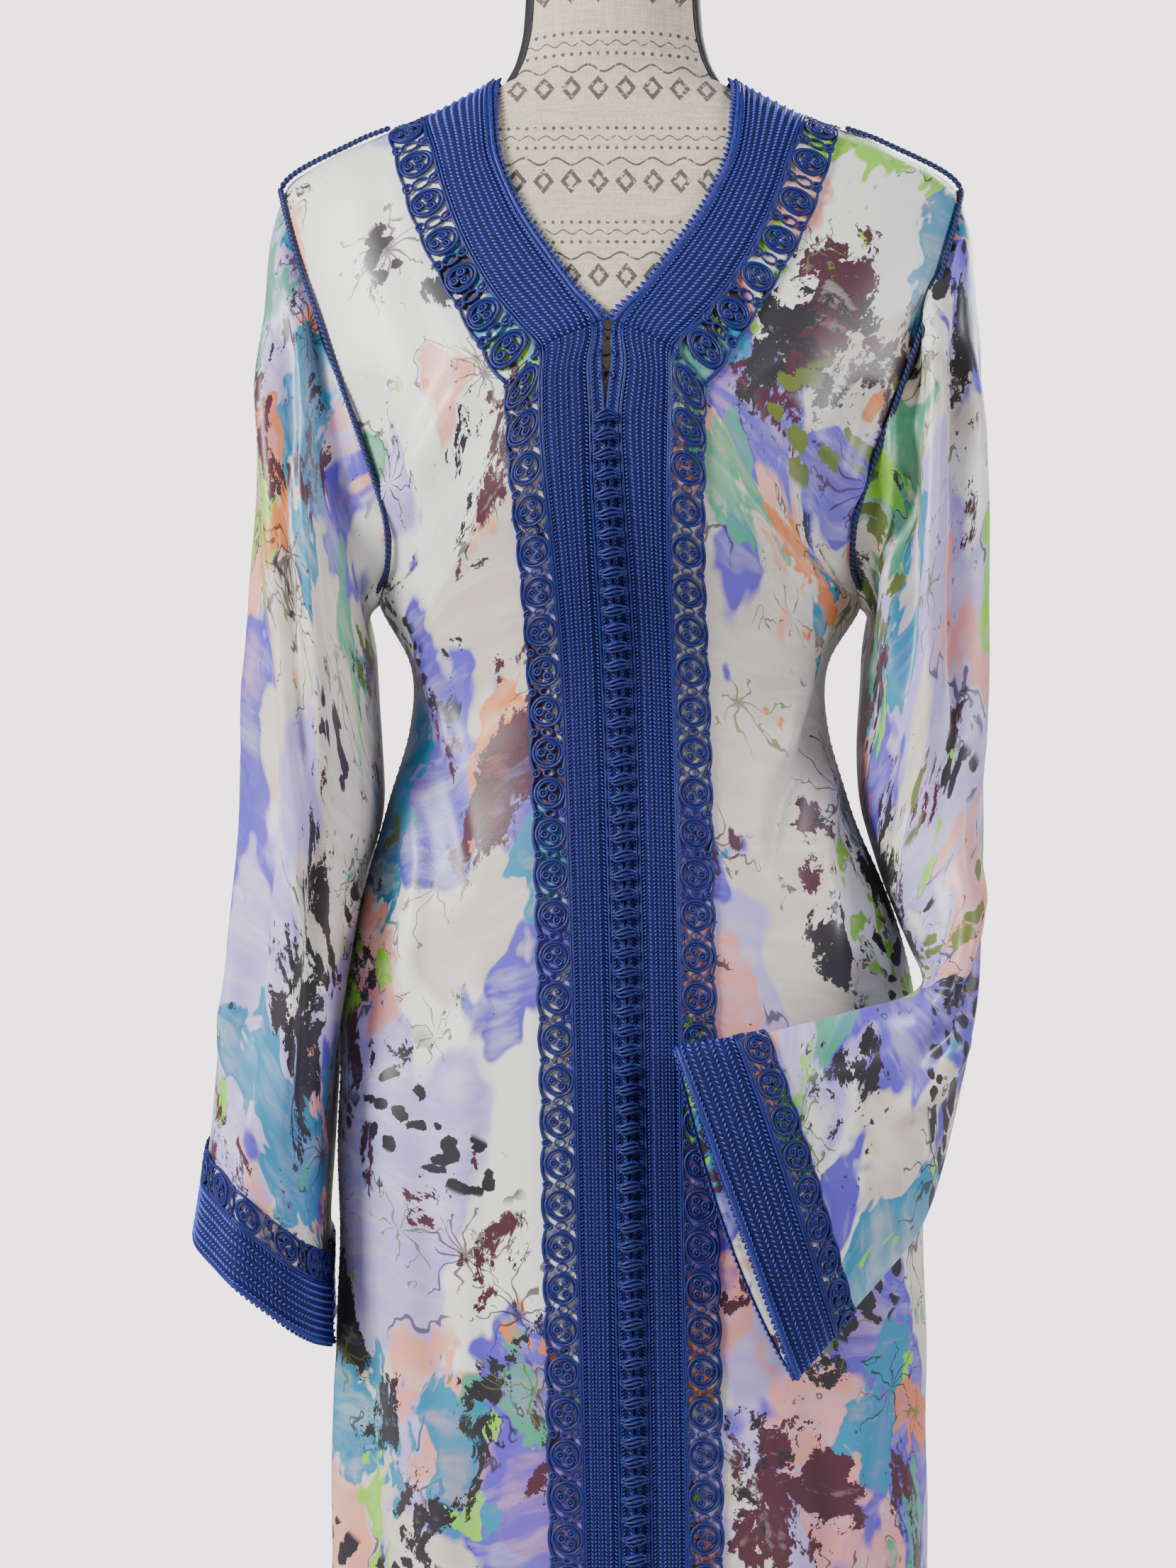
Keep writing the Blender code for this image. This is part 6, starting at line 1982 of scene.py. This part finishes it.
class KaftanSizes(bpy.types.PropertyGroup):
    """Sizes of the visual pieces."""

    cloth_thickness: bpy.props.FloatProperty(
        name="Cloth thickness",
        description="Wall of the satin",
        default=0.0006,
        min=0.0003,
        max=0.0012,
        unit="LENGTH",
    )
    stitch_pitch: bpy.props.FloatProperty(
        name="Stitch pitch",
        description="Braid stitch spacing",
        default=0.0024,
        min=0.0015,
        max=0.005,
        unit="LENGTH",
    )
    key_power: bpy.props.FloatProperty(
        name="Key light",
        description="Power of the main light",
        default=180.0,
        min=0.0,
        max=2000.0,
        unit="POWER",
    )
    ambient: bpy.props.FloatProperty(
        name="Ambient light",
        description="Strength of the light from all round",
        default=0.36,
        min=0.0,
        max=10.0,
    )
    backdrop: bpy.props.FloatProperty(
        name="Backdrop",
        description="Brightness of the backdrop as the camera sees it",
        default=3.9,
        min=0.0,
        max=10.0,
    )


def colour_group():
    """Property group made from the colour table."""
    fields = {}
    for key, label, value in COLOUR_TABLE:
        about = {"name": label, "description": f"{label} colour", "subtype": "COLOR", "size": 3}
        fields[key] = bpy.props.FloatVectorProperty(**about, default=value, min=0.0, max=1.0)
    return type("KaftanColours", (bpy.types.PropertyGroup,), {"__annotations__": fields})


KaftanColours = colour_group()


def colours_of(scene):
    """Colours as plain tuples by name."""
    return {key: tuple(getattr(scene.kaftan_colours, key)) for key, label, value in COLOUR_TABLE}


# Operators: name, label, what it does and its builder
OPERATOR_TABLE = (
    ("form", "Dress form", "Build the dress form", add_form),
    ("stand", "Stand", "Build the cap, pole and foot", add_stand),
    ("satin", "Satin panels", "Build the satin panels", add_satin),
    ("braid", "Braids", "Build the braids", add_braid),
    ("lace", "Lace", "Build the openwork lace", add_lace),
    ("buttons", "Knotted buttons", "Build the knotted buttons and loops", add_buttons),
    ("piping", "Piping", "Build the seam piping", add_piping),
    ("edging", "Edging", "Build the edge picots", add_edging),
    ("sewing", "Sewing", "Build the hem and seam stitches", add_sewing),
    ("stage", "Stage", "Set the floor, lights and camera", add_stage),
)


def piece_operator(word, label, about, builder):
    """Operator class that runs one builder with the scene's settings."""

    def execute(self, context):
        """Build the pieces."""
        builder(context.scene.kaftan_sizes, colours_of(context.scene))
        return {"FINISHED"}

    fields = {
        "__doc__": about,
        "bl_idname": f"kaftan.{word}",
        "bl_label": label,
        "bl_options": {"REGISTER", "UNDO"},
        "execute": execute,
    }
    return type(f"KAFTAN_OT_{word}", (bpy.types.Operator,), fields)


OPERATORS = tuple(piece_operator(*row) for row in OPERATOR_TABLE)


class KAFTAN_PT_panel(bpy.types.Panel):
    """Sidebar panel of the kaftan's pieces"""

    bl_idname = "KAFTAN_PT_panel"
    bl_label = "Kaftan"
    bl_space_type = "VIEW_3D"
    bl_region_type = "UI"
    bl_category = "Kaftan"

    def draw(self, context):
        """Draw the sizes, colours and buttons."""
        layout = self.layout
        sizes = context.scene.kaftan_sizes
        for name in sizes.bl_rna.properties.keys():
            if name not in {"rna_type", "name"}:
                layout.prop(sizes, name)
        colours = context.scene.kaftan_colours
        for key, label, value in COLOUR_TABLE:
            layout.prop(colours, key)
        for operator in OPERATORS:
            layout.operator(operator.bl_idname)


CLASSES = (KaftanSizes, KaftanColours, *OPERATORS, KAFTAN_PT_panel)


def register():
    """Register the classes and the scene's settings."""
    for kind in CLASSES:
        bpy.utils.register_class(kind)
    bpy.types.Scene.kaftan_sizes = bpy.props.PointerProperty(type=KaftanSizes)
    bpy.types.Scene.kaftan_colours = bpy.props.PointerProperty(type=KaftanColours)


def unregister():
    """Remove the settings and the classes."""
    del bpy.types.Scene.kaftan_colours
    del bpy.types.Scene.kaftan_sizes
    for kind in reversed(CLASSES):
        bpy.utils.unregister_class(kind)


def main():
    """Build every piece and the stage, and write the sizes."""
    register()
    bpy.ops.kaftan.form()
    bpy.ops.kaftan.stand()
    bpy.ops.kaftan.satin()
    bpy.ops.kaftan.braid()
    bpy.ops.kaftan.lace()
    bpy.ops.kaftan.buttons()
    bpy.ops.kaftan.piping()
    bpy.ops.kaftan.edging()
    bpy.ops.kaftan.sewing()
    bpy.ops.kaftan.stage()


if __name__ == "__main__":
    main()
